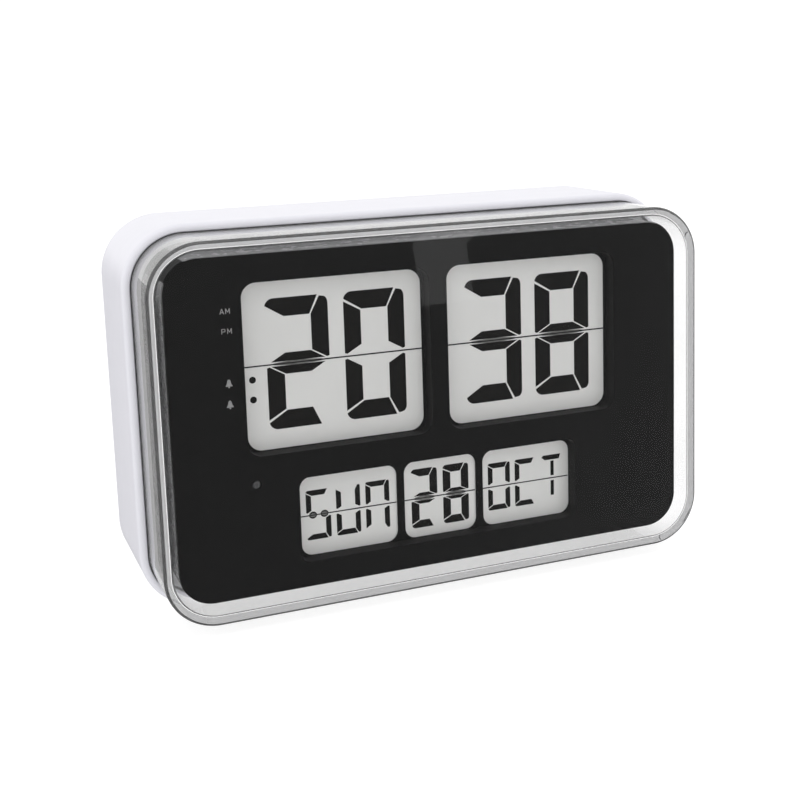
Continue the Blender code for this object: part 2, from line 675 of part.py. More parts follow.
# ---------------------------------------------------------------- keys
def make_key_board(mats):
    board = prism("key_board", rounded_rect((0, KEY_Z), KEY_BOARD, 2, SMALL_STEPS),
                  KEY_BOARD_Y, KEY_BOARD_Y + BOARD_THICKNESS, mats["board"])
    removed = []
    for side in (-1, 1):
        removed.append(prism("hole", circle((side * KEY_SCREW_X, KEY_Z), 1.3, 12),
                             KEY_BOARD_Y - 1, KEY_BOARD_Y + 3, mats["board"]))
    return combine(board, (), removed)


def make_buttons(mats):
    """Push keys: cap, retaining flange and plunger in one piece, each over a tact switch."""
    made = []
    flange_y = -(KEY_CAP_PROUD + KEY_PANEL_WALL + GAP)
    cap_profile = [
        (3.1, 0.0),
        (KEY_CAP_RADIUS, -0.5),
        (KEY_CAP_RADIUS, flange_y),
        (KEY_FLANGE_RADIUS, flange_y),
        (KEY_FLANGE_RADIUS, flange_y - KEY_FLANGE),
        (PLUNGER_RADIUS, flange_y - KEY_FLANGE),
        (PLUNGER_RADIUS, flange_y - PLUNGER_REACH),
    ]
    stations = [(circle((0, 0), radius, 18), y) for radius, y in cap_profile]
    cap = loft("button_cap", stations, mats["key"])
    switch_front = KEY_BOARD_Y + BOARD_THICKNESS + GAP
    body = box("switch_body", (-3, 0, -3), (3, SWITCH_DEPTH, 3), mats["switch"])
    combine(body, (), [prism("well", circle((0, 0), 1.9, 16), 0.9, 5, mats["switch"])])
    for name, column in KEY_COLUMNS.items():
        button = copy_of(cap, name)
        made.append(move(button, column * KEY_PITCH, KEY_PANEL_Y + KEY_CAP_PROUD, KEY_Z))
        switch = copy_of(body, name.replace("button", "switch"))
        made.append(move(switch, column * KEY_PITCH, switch_front, KEY_Z))
    bpy.data.objects.remove(cap)
    bpy.data.objects.remove(body)
    return made


def make_slide_switches(mats):
    """Slide knobs with a ribbed thumb face, each over its slide switch body."""
    made = []
    flange_y = -(KEY_CAP_PROUD + KEY_PANEL_WALL + GAP)
    cap = box("knob", (-KNOB[0] / 2, flange_y - 1, -KNOB[1] / 2), (KNOB[0] / 2, 0, KNOB[1] / 2),
              mats["switch"])
    parts = [
        box("flange", (-3.6, flange_y - KEY_FLANGE, -3.4), (3.6, flange_y, 3.4), mats["switch"]),
        box("stem", (-1, flange_y - 3.6, -1), (1, flange_y - 0.5, 1), mats["switch"]),
    ]
    grooves = []
    for offset in (-1.1, 0.0, 1.1):
        grooves.append(box("groove", (offset - 0.25, -0.5, -3), (offset + 0.25, 1, 3), mats["switch"]))
    combine(cap, parts, grooves)
    body = box("slide_body", (-5.5, 0, -3.2), (5.5, SWITCH_DEPTH, 3.2), mats["metal"])
    pocket = box("pocket", (-2.9, 0.9, -1.4), (2.9, 5, 1.4), mats["metal"])
    combine(body, (), (pocket,))
    body_y = KEY_BOARD_Y + BOARD_THICKNESS + GAP
    for name, column in SLIDE_COLUMNS.items():
        knob = copy_of(cap, name + "_knob")
        made.append(move(knob, knob_centre(column), KEY_PANEL_Y + KEY_CAP_PROUD, KEY_Z))
        switch = copy_of(body, name + "_switch")
        made.append(move(switch, column * KEY_PITCH, body_y, KEY_Z))
    bpy.data.objects.remove(cap)
    bpy.data.objects.remove(body)
    return made


# ---------------------------------------------------------------- battery bay
def cell_rows():
    """Height and polarity of each cell; polarity +1 has its positive end at +X."""
    return [(BAY_Z + CELL_PITCH, 1), (BAY_Z, -1), (BAY_Z - CELL_PITCH, 1)]


def make_cells(mats):
    made = []
    profile = [
        (CELL_RADIUS - 0.7, 0.0),
        (CELL_RADIUS, 0.7),
        (CELL_RADIUS, CELL_LENGTH - CELL_NUB - 0.7),
        (CELL_RADIUS - 0.7, CELL_LENGTH - CELL_NUB),
        (2.7, CELL_LENGTH - CELL_NUB),
        (2.7, CELL_LENGTH),
    ]
    stations = [(circle((0, 0), radius, 20), x - CELL_LENGTH) for radius, x in profile]
    cell = loft("cell", stations, mats["cell"], "X")
    for index, (z, side) in enumerate(cell_rows()):
        copy = copy_of(cell, "aa_cell_%d" % (index + 1))
        copy.rotation_euler = (0, 0, 0 if side > 0 else math.pi)
        made.append(move(copy, side * CELL_TIP_X, CELL_Y, z))
    bpy.data.objects.remove(cell)
    return made


def make_contacts(mats):
    """A flat plate at each positive end and a conical coil spring at each negative end."""
    made = []
    half = PLATE_THICKNESS / 2
    plate = box("plate", (-half, -6, -6), (half, 6, 6), mats["metal"])
    turns = 3
    per_turn = 10
    length = BAY_HALF_X - (CELL_LENGTH - CELL_TIP_X) - 2 * GAP - 1.0
    for index, (z, side) in enumerate(cell_rows()):
        contact = copy_of(plate, "cell_plate_%d" % (index + 1))
        made.append(move(contact, side * (BAY_HALF_X - GAP - half), CELL_Y, z))
        curve = bpy.data.curves.new("cell_spring_%d" % (index + 1), "CURVE")
        curve.dimensions = "3D"
        curve.bevel_depth = 0.4 * MM
        curve.bevel_resolution = 0
        curve.use_fill_caps = True
        spline = curve.splines.new("POLY")
        spline.points.add(turns * per_turn)
        for step, point in enumerate(spline.points):
            share = step / (turns * per_turn)
            angle = 2 * math.pi * step / per_turn
            radius = (5.2 - 2.2 * share) * MM
            point.co = (share * length * MM, radius * math.cos(angle), radius * math.sin(angle), 1)
        curve.materials.append(mats["metal"])
        spring = bpy.data.objects.new(curve.name, curve)
        bpy.context.scene.collection.objects.link(spring)
        spring.rotation_euler = (0, 0, 0 if side > 0 else math.pi)
        made.append(move(spring, -side * (BAY_HALF_X - GAP - 0.5), CELL_Y, z))
    bpy.data.objects.remove(plate)
    return made


def make_battery_door(mats):
    """Door with its origin on the hinge axis; it hangs from two pins at its top edge."""
    white = mats["white"]
    outer = BACK_Y - HINGE_Y
    inner = outer - DOOR_THICKNESS
    bottom = DOOR_BOTTOM_Z - HINGE_Z
    latch = DOOR_LATCH_Z - HINGE_Z
    door = box("battery_door", (-DOOR_HALF_X, inner, bottom), (DOOR_HALF_X, outer, 0), white)
    added = [
        prism("barrel", circle((0, 0), HINGE_BARREL, 16), -DOOR_HALF_X, DOOR_HALF_X, white, "X"),
        prism("pins", circle((0, 0), HINGE_PIN, 12), -DOOR_HALF_X - HINGE_PIN_REACH,
              DOOR_HALF_X + HINGE_PIN_REACH, white, "X"),
        box("latch", (-5, inner - 5, latch), (5, inner + 0.5, latch + 1), white),
    ]
    grooves = []
    for row in range(4):
        z = bottom + 6.0 + 2.2 * row
        grooves.append(box("grip_groove", (-9 + row, outer - 0.5, z), (9 - row, outer + 1, z + 1.0), white))
    combine(door, added, grooves)
    return move(door, 0, HINGE_Y, HINGE_Z)


def make_leads(mats):
    """Two insulated leads from the battery bay to the main board."""
    made = []
    start_y = BAY_FLOOR_Y - BAY_WALL - GAP
    end_y = BOARD_FRONT_Y + BOARD_THICKNESS + GAP
    for name, side, mat in (("battery_lead_red", 1, "lead_red"), ("battery_lead_black", -1, "lead_black")):
        curve = bpy.data.curves.new(name, "CURVE")
        curve.dimensions = "3D"
        curve.bevel_depth = 0.7 * MM
        curve.bevel_resolution = 1
        curve.use_fill_caps = True
        spline = curve.splines.new("POLY")
        steps = 18
        spline.points.add(steps)
        for step, point in enumerate(spline.points):
            share = step / steps
            blend = 3 * share ** 2 - 2 * share ** 3
            sag = math.sin(math.pi * share) ** 2
            x = side * (24.0 + 6.0 * sag)
            y = start_y + (end_y - start_y) * share
            z = 52.0 + 18.0 * blend - 5.0 * sag
            point.co = (x * MM, y * MM, z * MM, 1)
        curve.materials.append(mats[mat])
        lead = bpy.data.objects.new(name, curve)
        bpy.context.scene.collection.objects.link(lead)
        made.append(lead)
    return made


def make_buzzer(mats):
    """Piezo disc on a moulded cup, pressed into the casing's ring."""
    centre = (BUZZER_X, BUZZER_Z)
    front = BACK_INNER_Y - 4.0
    return loft("alarm_buzzer", [
        (circle(centre, BUZZER_RADIUS - 1, 20), front),
        (circle(centre, BUZZER_RADIUS, 20), front + 0.9),
        (circle(centre, BUZZER_RADIUS, 20), BACK_INNER_Y - GAP),
    ], mats["brass"])


def make_feet(mats):
    made = []
    for name, centre in foot_places().items():
        outline = foot_outline(centre, 0)
        smaller = foot_outline(centre, -0.3)
        made.append(loft(name, [(smaller, 0.0), (outline, 0.3), (outline, FOOT_PROUD + 0.2)],
                         mats["rubber"], "Z"))
    return made


# ---------------------------------------------------------------- assembly
def main():
    for obj in list(bpy.data.objects):
        bpy.data.objects.remove(obj)
    mats = make_materials()
    pieces = [
        make_rear_casing(mats),
        make_clear_cover(mats),
        make_chassis_frame(mats),
        make_display_mask(mats),
        make_calendar_bezel(mats),
        make_key_board(mats),
        make_battery_door(mats),
        make_buzzer(mats),
    ]
    pieces += make_display_stack(mats)
    pieces += make_sensor(mats)
    pieces += make_main_board(mats)
    pieces += make_screws(mats)
    pieces += make_buttons(mats)
    pieces += make_slide_switches(mats)
    pieces += make_cells(mats)
    pieces += make_contacts(mats)
    pieces += make_leads(mats)
    pieces += make_feet(mats)
    for piece in pieces:
        if piece.type == "MESH":
            smooth(piece)


main()
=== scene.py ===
"""Looks of the desk clock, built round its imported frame.

The outer shells, the mask, the keys and the cells are remodelled finely. The numerals are thin
shapes on the liquid-crystal glass. Lengths are in millimetres until a mesh is written in metres.
"""
import json
import math

import bmesh
import bpy
from mathutils import Matrix, Vector


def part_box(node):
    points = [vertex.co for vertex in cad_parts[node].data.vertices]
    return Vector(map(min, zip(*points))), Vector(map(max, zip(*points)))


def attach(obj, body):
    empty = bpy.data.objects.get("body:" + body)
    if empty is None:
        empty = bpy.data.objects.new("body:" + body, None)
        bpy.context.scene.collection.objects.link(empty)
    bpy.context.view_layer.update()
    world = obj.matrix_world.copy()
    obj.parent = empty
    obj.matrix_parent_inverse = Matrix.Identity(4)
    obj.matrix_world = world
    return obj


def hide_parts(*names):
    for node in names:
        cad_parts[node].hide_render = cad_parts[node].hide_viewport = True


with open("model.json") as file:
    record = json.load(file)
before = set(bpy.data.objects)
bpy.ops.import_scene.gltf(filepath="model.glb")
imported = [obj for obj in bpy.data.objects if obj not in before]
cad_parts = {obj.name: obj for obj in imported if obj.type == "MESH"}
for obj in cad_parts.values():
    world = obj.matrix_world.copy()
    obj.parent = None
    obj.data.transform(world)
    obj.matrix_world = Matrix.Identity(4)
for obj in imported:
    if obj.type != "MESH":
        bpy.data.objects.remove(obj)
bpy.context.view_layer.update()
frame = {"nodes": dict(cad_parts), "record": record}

MM = 0.001
GAP = 0.3
STATIC = "clock_body"


def span(node):
    """Lowest and highest corner of a frame node, in millimetres."""
    low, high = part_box(node)
    return low / MM, high / MM


# ---------------------------------------------------------------- sizes read from the frame
COVER_LOW, COVER_HIGH = span("clear_cover")
CASING_LOW, CASING_HIGH = span("rear_casing")
MASK_LOW, MASK_HIGH = span("display_mask")
TIME_LOW, TIME_HIGH = span("time_lcd")
CALENDAR_HIGH = span("calendar_lcd")[1]
BEZEL_LOW, BEZEL_HIGH = span("calendar_bezel")
DOOR_LOW, DOOR_HIGH = span("battery_door")

FRONT_Y = COVER_LOW.y
SEAM_Y = CASING_LOW.y
BACK_Y = CASING_HIGH.y
CENTRE_Z = (COVER_LOW.z + COVER_HIGH.z) / 2
COVER_SIZE = (COVER_HIGH.x - COVER_LOW.x, COVER_HIGH.z - COVER_LOW.z)
CASING_SIZE = (CASING_HIGH.x - CASING_LOW.x, CASING_HIGH.z - CASING_LOW.z)
MASK_SIZE = (MASK_HIGH.x - MASK_LOW.x, MASK_HIGH.z - MASK_LOW.z)
MASK_FRONT_Y = MASK_LOW.y
LCD_FRONT_Y = TIME_LOW.y
DISPLAY_X = (TIME_LOW.x + TIME_HIGH.x) / 2

# ---------------------------------------------------------------- sizes of the remodelled pieces
COVER_RADIUS = 18.0
COVER_WALL = 2.5
COVER_EDGE_ROUND = 1.2
COVER_INNER_FILLET = 0.8
LEDGE = (CASING_SIZE[0] - COVER_SIZE[0]) / 2
CASING_WALL = LEDGE - GAP
CASING_RADIUS = COVER_RADIUS + LEDGE
CASING_EDGE_ROUND = 2.3
REAR_ROUND = 7.0
BACK_INNER_Y = BACK_Y - 2.5

MASK_RADIUS = 12.0
MASK_PLATE = 2.0
MASK_WALL = 1.8
COLLAR_WALL = 1.2
TIME_WINDOW = (65.6, 58.2)
TIME_WINDOW_RADIUS = 5.0
TIME_WINDOW_PITCH = 71.9
TIME_Z = TIME_HIGH.z - TIME_WINDOW[1] / 2 - 1.5
CALENDAR_WINDOWS = (37.0, 27.4, 34.8)
CALENDAR_HEIGHT = 29.5
CALENDAR_RADIUS = 3.2
CALENDAR_RIB = 2.75
CALENDAR_WIDTH = sum(CALENDAR_WINDOWS) + 2 * CALENDAR_RIB
CALENDAR_Z = CALENDAR_HIGH.z - CALENDAR_HEIGHT / 2 - 1.5

# The films' windows are smaller than the mask's, to look round-cornered from the camera's place
FILM_TOP_STRIP = 1.6          # film left above the calendar's windows
FILM_LEFT_STRIP = 1.9         # film left beside the first one
FILM_CORNER = 4.0
TIME_FILM_LEFTS = (-67.5, 5.3)
TIME_FILM_RIGHTS = (-4.6, 67.3)
TIME_FILM_HEIGHT = 57.0
TIME_FILM_DROP = 0.4          # the time film's windows sit a little under the mask's
TIME_FILM_CORNER = 5.0
TIME_FILM_FRONT = 0.26        # of the film's faces before the glass
TIME_FILM_BACK = 0.02

# strength of the painted glow on the cover's rear end face
RIM_PAINTED_GLOW = 0.35
CORNER_STEPS = 32
BARREL_STEPS = 28
WINDOW_STEPS = 14
SMALL_STEPS = 8
ROUND_STEPS = 48
EDGE_BEVEL = 0.25
SHARP_ANGLE = math.radians(34)


# ---------------------------------------------------------------- materials
class Graph:
    """Short forms for wiring the nodes of one material."""

    def __init__(self, name):
        self.material = bpy.data.materials.new(name)
        self.material.use_nodes = True
        self.nodes = self.material.node_tree.nodes
        self.links = self.material.node_tree.links
        self.shader = self.nodes["Principled BSDF"]
        coords = self.nodes.new("ShaderNodeTexCoord")
        self.position = coords.outputs["Object"]

    def noise(self, scale, detail=3.0, roughness=0.5, stretch=None):
        """Noise of the given number of blotches per metre, from 0 to 1."""
        node = self.nodes.new("ShaderNodeTexNoise")
        node.inputs["Scale"].default_value = scale
        node.inputs["Detail"].default_value = detail
        node.inputs["Roughness"].default_value = roughness
        source = self.position
        if stretch:
            mapping = self.nodes.new("ShaderNodeMapping")
            mapping.inputs["Scale"].default_value = stretch
            self.links.new(source, mapping.inputs["Vector"])
            source = mapping.outputs["Vector"]
        self.links.new(source, node.inputs["Vector"])
        return node.outputs["Fac"]

    def remap(self, value, low, high, new_low, new_high):
        node = self.nodes.new("ShaderNodeMapRange")
        node.inputs["From Min"].default_value = low
        node.inputs["From Max"].default_value = high
        node.inputs["To Min"].default_value = new_low
        node.inputs["To Max"].default_value = new_high
        self.links.new(value, node.inputs["Value"])
        return node.outputs["Result"]

    def maths(self, operation, first, second):
        node = self.nodes.new("ShaderNodeMath")
        node.operation = operation
        for socket, value in zip(node.inputs, (first, second)):
            if isinstance(value, (int, float)):
                socket.default_value = value
            else:
                self.links.new(value, socket)
        return node.outputs["Value"]

    def ramp(self, value, stops):
        """Colours at positions from 0 to 1."""
        node = self.nodes.new("ShaderNodeValToRGB")
        elements = node.color_ramp.elements
        while len(elements) < len(stops):
            elements.new(0.5)
        for element, (position, colour) in zip(elements, stops):
            element.position = position
            element.color = (*colour, 1.0)
        self.links.new(value, node.inputs["Fac"])
        return node.outputs["Color"]

    def axis(self, index):
        """One coordinate of the object's own space, in metres."""
        node = self.nodes.new("ShaderNodeSeparateXYZ")
        self.links.new(self.position, node.inputs["Vector"])
        return node.outputs[index]

    def bump(self, heights):
        """Surface relief from pairs of height and depth in metres."""
        normal = None
        for height, depth in heights:
            node = self.nodes.new("ShaderNodeBump")
            node.inputs["Strength"].default_value = 1.0
            node.inputs["Distance"].default_value = depth
            self.links.new(height, node.inputs["Height"])
            if normal:
                self.links.new(normal, node.inputs["Normal"])
            normal = node.outputs["Normal"]
        self.links.new(normal, self.shader.inputs["Normal"])

    def colour(self, value, stops):
        self.links.new(self.ramp(value, stops), self.shader.inputs["Base Color"])

    def rough(self, value, low, high):
        """Roughness between two levels, by a noise."""
        self.links.new(self.remap(value, 0.3, 0.7, low, high), self.shader.inputs["Roughness"])

    def fixed(self, **values):
        """Numbers and colours that are the same all over the surface."""
        for key, value in values.items():
            socket = self.shader.inputs[key.replace("_", " ").title().replace("Ior", "IOR")]
            socket.default_value = (*value, 1.0) if isinstance(value, tuple) else value


def shades(colour, swing):
    darker = tuple(channel * (1 - swing) for channel in colour)
    lighter = tuple(min(channel * (1 + swing), 1.0) for channel in colour)
    return [(0.3, darker), (0.7, lighter)]


def look(name, colour, rough, swing=0.03, rough_swing=0.05, mottle=90.0, grain=2600.0,
         relief=0.000004, **fixed):
    """Moulded or printed surface with faint blotches, uneven gloss and a fine grain."""
    graph = Graph(name)
    blotches = graph.noise(mottle, 4.0)
    graph.colour(blotches, shades(colour, swing))
    fine = graph.noise(grain, 2.0)
    graph.rough(fine, rough - rough_swing, rough + rough_swing)
    graph.bump([(fine, relief)])
    graph.fixed(**fixed)
    return graph.material


def clear_look(name, gloss, clarity=1.0):
    """Polished acrylic with faint moulding waves; gloss scales its mirror reflection."""
    graph = Graph(name)
    waves = graph.noise(35.0, 1.0)
    haze = graph.noise(400.0, 4.0)
    # clarity below 1 darkens the acrylic, which the cover's edges use as painted shade
    dull, bright = 0.97 * clarity, 0.99 * clarity
    graph.colour(waves, [(0.3, (dull, dull, dull)), (0.7, (bright, bright, bright))])
    graph.links.new(graph.remap(haze, 0.45, 0.8, 0.0, 0.03), graph.shader.inputs["Roughness"])
    graph.bump([(waves, 0.00002)])
    graph.fixed(transmission_weight=1.0, ior=1.49, specular_tint=(gloss, gloss, gloss))
    return graph.material


def painted_glow_rim_look():
    """Rear end face of the cover: white glue with an even painted glow. The glow is a lighting aid and not
    a trait of the glue.
    """
    graph = Graph("rim_glue")
    lumps = graph.noise(800.0, 3.0)
    graph.colour(lumps, shades((0.8, 0.8, 0.82), 0.02))
    graph.bump([(lumps, 0.00002)])
    graph.fixed(emission_color=(1.0, 1.0, 1.0), emission_strength=RIM_PAINTED_GLOW)
    return graph.material


def mask_side_look():
    """Sides of the black mask, painted grey towards the top in place of a reflection there."""
    graph = Graph("mask_side")
    height = graph.remap(graph.axis(2), (CENTRE_Z + 20) * MM, MASK_HIGH.z * MM, 0.0, 1.0)
    mottle = graph.noise(300.0, 3.0)
    level = graph.maths("ADD", height, graph.remap(mottle, 0.3, 0.7, -0.04, 0.04))
    graph.colour(level, [
        (0.0, (0.004, 0.004, 0.004)),
        (0.5, (0.03, 0.03, 0.03)),
        (1.0, (0.24, 0.24, 0.245)),
    ])
    graph.rough(mottle, 0.2, 0.3)
    graph.bump([(mottle, 0.000004)])
    graph.fixed(specular_ior_level=0.15)
    return graph.material


def glass_look():
    """Front polariser of the display: pale grey with a faint fibre, a soft sheen and an even painted glow
    that brightens it.
    """
    graph = Graph("display_polariser")
    blotches = graph.noise(60.0, 3.0)
    fibre = graph.noise(900.0, 2.0, stretch=(1.0, 1.0, 14.0))
    graph.colour(blotches, shades((0.82, 0.82, 0.805), 0.01))
    graph.rough(fibre, 0.3, 0.42)
    graph.bump([(fibre, 0.0000015)])
    # the emission is a painted glow; the polariser is no lamp
    graph.fixed(specular_ior_level=0.25, emission_color=(1.0, 1.0, 0.98), emission_strength=0.11)
    return graph.material


def board_look():
    """Solder mask with copper tracks that show through it."""
    graph = Graph("solder_mask")
    tracks = graph.nodes.new("ShaderNodeTexVoronoi")
    tracks.feature = "DISTANCE_TO_EDGE"
    tracks.inputs["Scale"].default_value = 230.0
    graph.links.new(graph.position, tracks.inputs["Vector"])
    edge = graph.remap(tracks.outputs["Distance"], 0.03, 0.07, 1.0, 0.0)
    graph.colour(edge, [(0.0, (0.02, 0.14, 0.06)), (1.0, (0.05, 0.26, 0.11))])
    fine = graph.noise(2000.0, 2.0)
    graph.rough(fine, 0.3, 0.45)
    graph.bump([(edge, 0.00003), (fine, 0.000004)])
    return graph.material


def metal_look(name, colour, rough):
    """Plated metal with fine rubbed lines and dull patches."""
    graph = Graph(name)
    patches = graph.noise(250.0, 4.0)
    lines = graph.noise(1500.0, 3.0, stretch=(1.0, 9.0, 1.0))
    graph.colour(patches, shades(colour, 0.08))
    graph.rough(lines, rough - 0.07, rough + 0.1)
    graph.bump([(lines, 0.000003)])
    graph.fixed(metallic=1.0)
    return graph.material


def sleeve_look():
    """Shrink sleeve of a dry cell: a dark body with a light band near each end."""
    graph = Graph("cell_sleeve")
    reach = graph.maths("ABSOLUTE", graph.axis(0), 0.0)
    dark = (0.02, 0.09, 0.16)
    light = (0.62, 0.64, 0.65)
    graph.colour(graph.maths("MULTIPLY", reach, 1000.0 / 30.0),
                 [(0.0, dark), (0.52, dark), (0.54, light), (0.60, light), (0.62, dark)])
    wrinkles = graph.noise(300.0, 3.0, stretch=(0.3, 1.0, 1.0))
    graph.rough(wrinkles, 0.18, 0.34)
    graph.bump([(wrinkles, 0.00002)])
    return graph.material


LOOKS = {
    "white_plastic": look("satin_white_shell", (0.72, 0.715, 0.765), 0.38, 0.012, relief=0.000005),
    "inner_white_plastic": look("inner_white_shell", (0.80, 0.80, 0.82), 0.5, 0.02),
    "clear_plastic": clear_look("clear_acrylic", 1.0),
    "black_gloss_plastic": look("satin_black_mask", (0.006, 0.006, 0.0063), 0.22, 0.2, 0.03,
                                relief=0.0000008, specular_ior_level=0.2),
    "black_film": look("black_film", (0.0015, 0.0015, 0.0016), 0.35, 0.25, 0.04,
                       relief=0.000001, specular_ior_level=0.03),
    "lcd_glass": glass_look(),
    "light_guide_acrylic": look("light_guide", (0.8, 0.82, 0.8), 0.2, 0.02),
    "contact_elastomer": look("zebra_strip", (0.25, 0.23, 0.22), 0.75, 0.3, mottle=1500.0),
    "led_package": look("led_package", (0.85, 0.83, 0.7), 0.3, 0.04),
    "smoked_lens": look("smoked_lens", (0.05, 0.05, 0.055), 0.12, 0.2, 0.03),
    "chip_epoxy": look("chip_epoxy", (0.012, 0.012, 0.013), 0.35, 0.2, 0.1, mottle=400.0,
                       relief=0.00002),
    "circuit_board": board_look(),
    "plated_steel": metal_look("plated_steel", (0.62, 0.61, 0.59), 0.25),
    "buzzer_brass": metal_look("buzzer_brass", (0.72, 0.55, 0.26), 0.3),
    "switch_plastic": look("switch_plastic", (0.022, 0.022, 0.024), 0.45, 0.15, relief=0.000006),
    "grey_key_plastic": look("grey_key", (0.42, 0.42, 0.45), 0.42, 0.03, relief=0.000006),
    "cell_sleeve": sleeve_look(),
    "red_wire": look("red_insulation", (0.5, 0.02, 0.02), 0.4, 0.1),
    "black_wire": look("black_insulation", (0.015, 0.015, 0.015), 0.4, 0.2),
    "foot_rubber": look("foot_rubber", (0.22, 0.22, 0.23), 0.85, 0.12, mottle=700.0,
                        relief=0.00002),
}
COATED_CLEAR_LOOK = clear_look("coated_acrylic", 0.0)      # without any mirror reflection
# tinted almost black for the cover's rounded edges: painted shade
EDGE_PAINTED_SHADE_LOOK = clear_look("edge_acrylic_painted_shade", 0.6, 0.05)
PAINTED_GLOW_RIM_LOOK = painted_glow_rim_look()
MASK_SIDE_LOOK = mask_side_look()
SEAL_LOOK = look("black_seal", (0.01, 0.01, 0.011), 0.6, 0.2)
SEGMENT_LOOK = look("lit_segment", (0.0035, 0.003, 0.0025), 0.5, 0.3, 0.05,
                    relief=0.000001, specular_ior_level=0.05)
LINE_LOOK = look("card_line", (0.012, 0.012, 0.012), 0.5, 0.4, 0.05, specular_ior_level=0.05)
SPINDLE_LOOK = look("card_spindle", (0.19, 0.19, 0.185), 0.5, 0.35, 0.05, mottle=700.0,
                    specular_ior_level=0.1)
PRINT_LOOK = look("pale_print", (0.36, 0.36, 0.36), 0.5, 0.1, 0.05, mottle=1500.0)
MARK_LOOK = look("grey_print", (0.30, 0.30, 0.32), 0.55, 0.1, 0.05, mottle=1500.0)


# ---------------------------------------------------------------- outlines
def arc(centre, radius, start, end, steps):
    """Points on a circle from one angle to another, in degrees."""
    points = []
    for step in range(steps + 1):
        angle = math.radians(start + (end - start) * step / steps)
        points.append((centre[0] + radius * math.cos(angle), centre[1] + radius * math.sin(angle)))
    return points


def rounded_rect(centre, size, radius, steps=CORNER_STEPS):
    """Points of a rounded rectangle, anticlockwise, as pairs."""
    half_u = size[0] / 2 - radius
    half_v = size[1] / 2 - radius
    points = []
    for side_u, side_v, start in ((1, -1, -90), (1, 1, 0), (-1, 1, 90), (-1, -1, 180)):
        corner = (centre[0] + side_u * half_u, centre[1] + side_v * half_v)
        points.extend(arc(corner, radius, start, start + 90, steps))
    return points


def rectangle(low, high):
    return [(low[0], low[1]), (high[0], low[1]), (high[0], high[1]), (low[0], high[1])]


def circle(centre, radius, steps=ROUND_STEPS):
    return arc(centre, radius, 0, 360 - 360 / steps, steps - 1)


# ---------------------------------------------------------------- solids
def lifted(point, height, axis):
    """A point of an outline at a height along the axis that it is swept on, in metres."""
    if axis == "X":
        return Vector((height, point[0], point[1])) * MM
    if axis == "Y":
        return Vector((point[0], height, point[1])) * MM
    return Vector((point[0], point[1], height)) * MM


def add_rings(bm, stations, axis="Y"):
    """A ring of points for each outline and its height."""
    return [[bm.verts.new(lifted(point, height, axis)) for point in outline]
            for outline, height in stations]


def join_rings(bm, rings):
    """Bands of faces from each ring to the next."""
    count = len(rings[0])
    faces = []
    for lower, upper in zip(rings, rings[1:]):
        for i in range(count):
            j = (i + 1) % count
            faces.append(bm.faces.new((lower[i], lower[j], upper[j], upper[i])))
    return faces


def add_loft(bm, stations, axis="Y"):
    """Adds one closed solid through outlines of equal point count."""
    rings = add_rings(bm, stations, axis)
    faces = join_rings(bm, rings)
    faces.append(bm.faces.new(rings[0]))
    faces.append(bm.faces.new(rings[-1]))
    bmesh.ops.recalc_face_normals(bm, faces=faces)


def linked(name, data):
    """A new object in the scene."""
    obj = bpy.data.objects.new(name, data)
    bpy.context.scene.collection.objects.link(obj)
    return obj


def made_object(name, bm, mat):
    mesh = bpy.data.meshes.new(name)
    bm.to_mesh(mesh)
    bm.free()
    mesh.materials.append(mat)
    return linked(name, mesh)


def loft(name, stations, mat, axis="Y"):
    bm = bmesh.new()
    add_loft(bm, stations, axis)
    return made_object(name, bm, mat)


def prism(name, outline, low, high, mat=None, axis="Y"):
    return loft(name, [(outline, low), (outline, high)], mat or LOOKS["white_plastic"], axis)


def block(name, low, high, mat=None):
    return prism(name, rectangle((low[0], low[2]), (high[0], high[2])), low[1], high[1], mat)


def turned(name, profile, centre, mat, axis="Y", steps=ROUND_STEPS):
    """A round piece from pairs of radius and height."""
    return loft(name, [(circle(centre, radius, steps), height) for radius, height in profile], mat,
                axis)


def combine(target, added=(), removed=()):
    """Boolean union of the added tools and difference of the removed ones."""
    tools = [(tool, "UNION") for tool in added] + [(tool, "DIFFERENCE") for tool in removed]
    for tool, operation in tools:
        modifier = target.modifiers.new(operation.title(), "BOOLEAN")
        modifier.operation = operation
        modifier.solver = "EXACT"
        modifier.object = tool
    graph = bpy.context.evaluated_depsgraph_get()
    result = bpy.data.meshes.new_from_object(target.evaluated_get(graph))
    target.modifiers.clear()
    target.data = result
    for tool, _ in tools:
        bpy.data.objects.remove(tool)
    bm = bmesh.new()
    bm.from_mesh(result)
    bmesh.ops.remove_doubles(bm, verts=bm.verts, dist=0.002 * MM)
    bmesh.ops.dissolve_limit(bm, angle_limit=math.radians(0.05), verts=bm.verts, edges=bm.edges)
    bm.to_mesh(result)
    bm.free()
    return target


def smooth(obj):
    obj.data.shade_smooth()
    obj.data.set_sharp_from_angle(angle=SHARP_ANGLE)


def soften(obj, width=EDGE_BEVEL, segments=3):
    """Rounds the sharp edges."""
    modifier = obj.modifiers.new("Edges", "BEVEL")
    modifier.width = width * MM
    modifier.segments = segments
    modifier.limit_method = "ANGLE"
    modifier.angle_limit = math.radians(40)
    modifier.use_clamp_overlap = False
    modifier.harden_normals = True
    return obj


def fit(piece, body, slot, *nodes):
    """Smooths a piece, lets it ride a body and stand for frame nodes."""
    smooth(piece)
    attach(piece, body)
    if nodes:
        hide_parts(*nodes)
    return piece


# ---------------------------------------------------------------- outer shells
def shell(size, radius, inset, steps=CORNER_STEPS):
    """The clock's outline, drawn in by an inset."""
    drawn = (size[0] - 2 * inset, size[1] - 2 * inset)
    return rounded_rect((0, CENTRE_Z), drawn, max(radius - inset, 1.0), steps)


def edge_stations(size, radius, inset, edge_y, turn, outward, steps):
    """Outlines round an edge of radius turn that ends at edge_y; outward is its Y direction."""
    stations = []
    for step in range(steps + 1):
        angle = math.radians(90 * step / steps)
        drawn_in = inset + turn * (1 - math.cos(angle))
        y = edge_y - outward * turn * (1 - math.sin(angle))
        stations.append((shell(size, radius, drawn_in), y))
    return stations


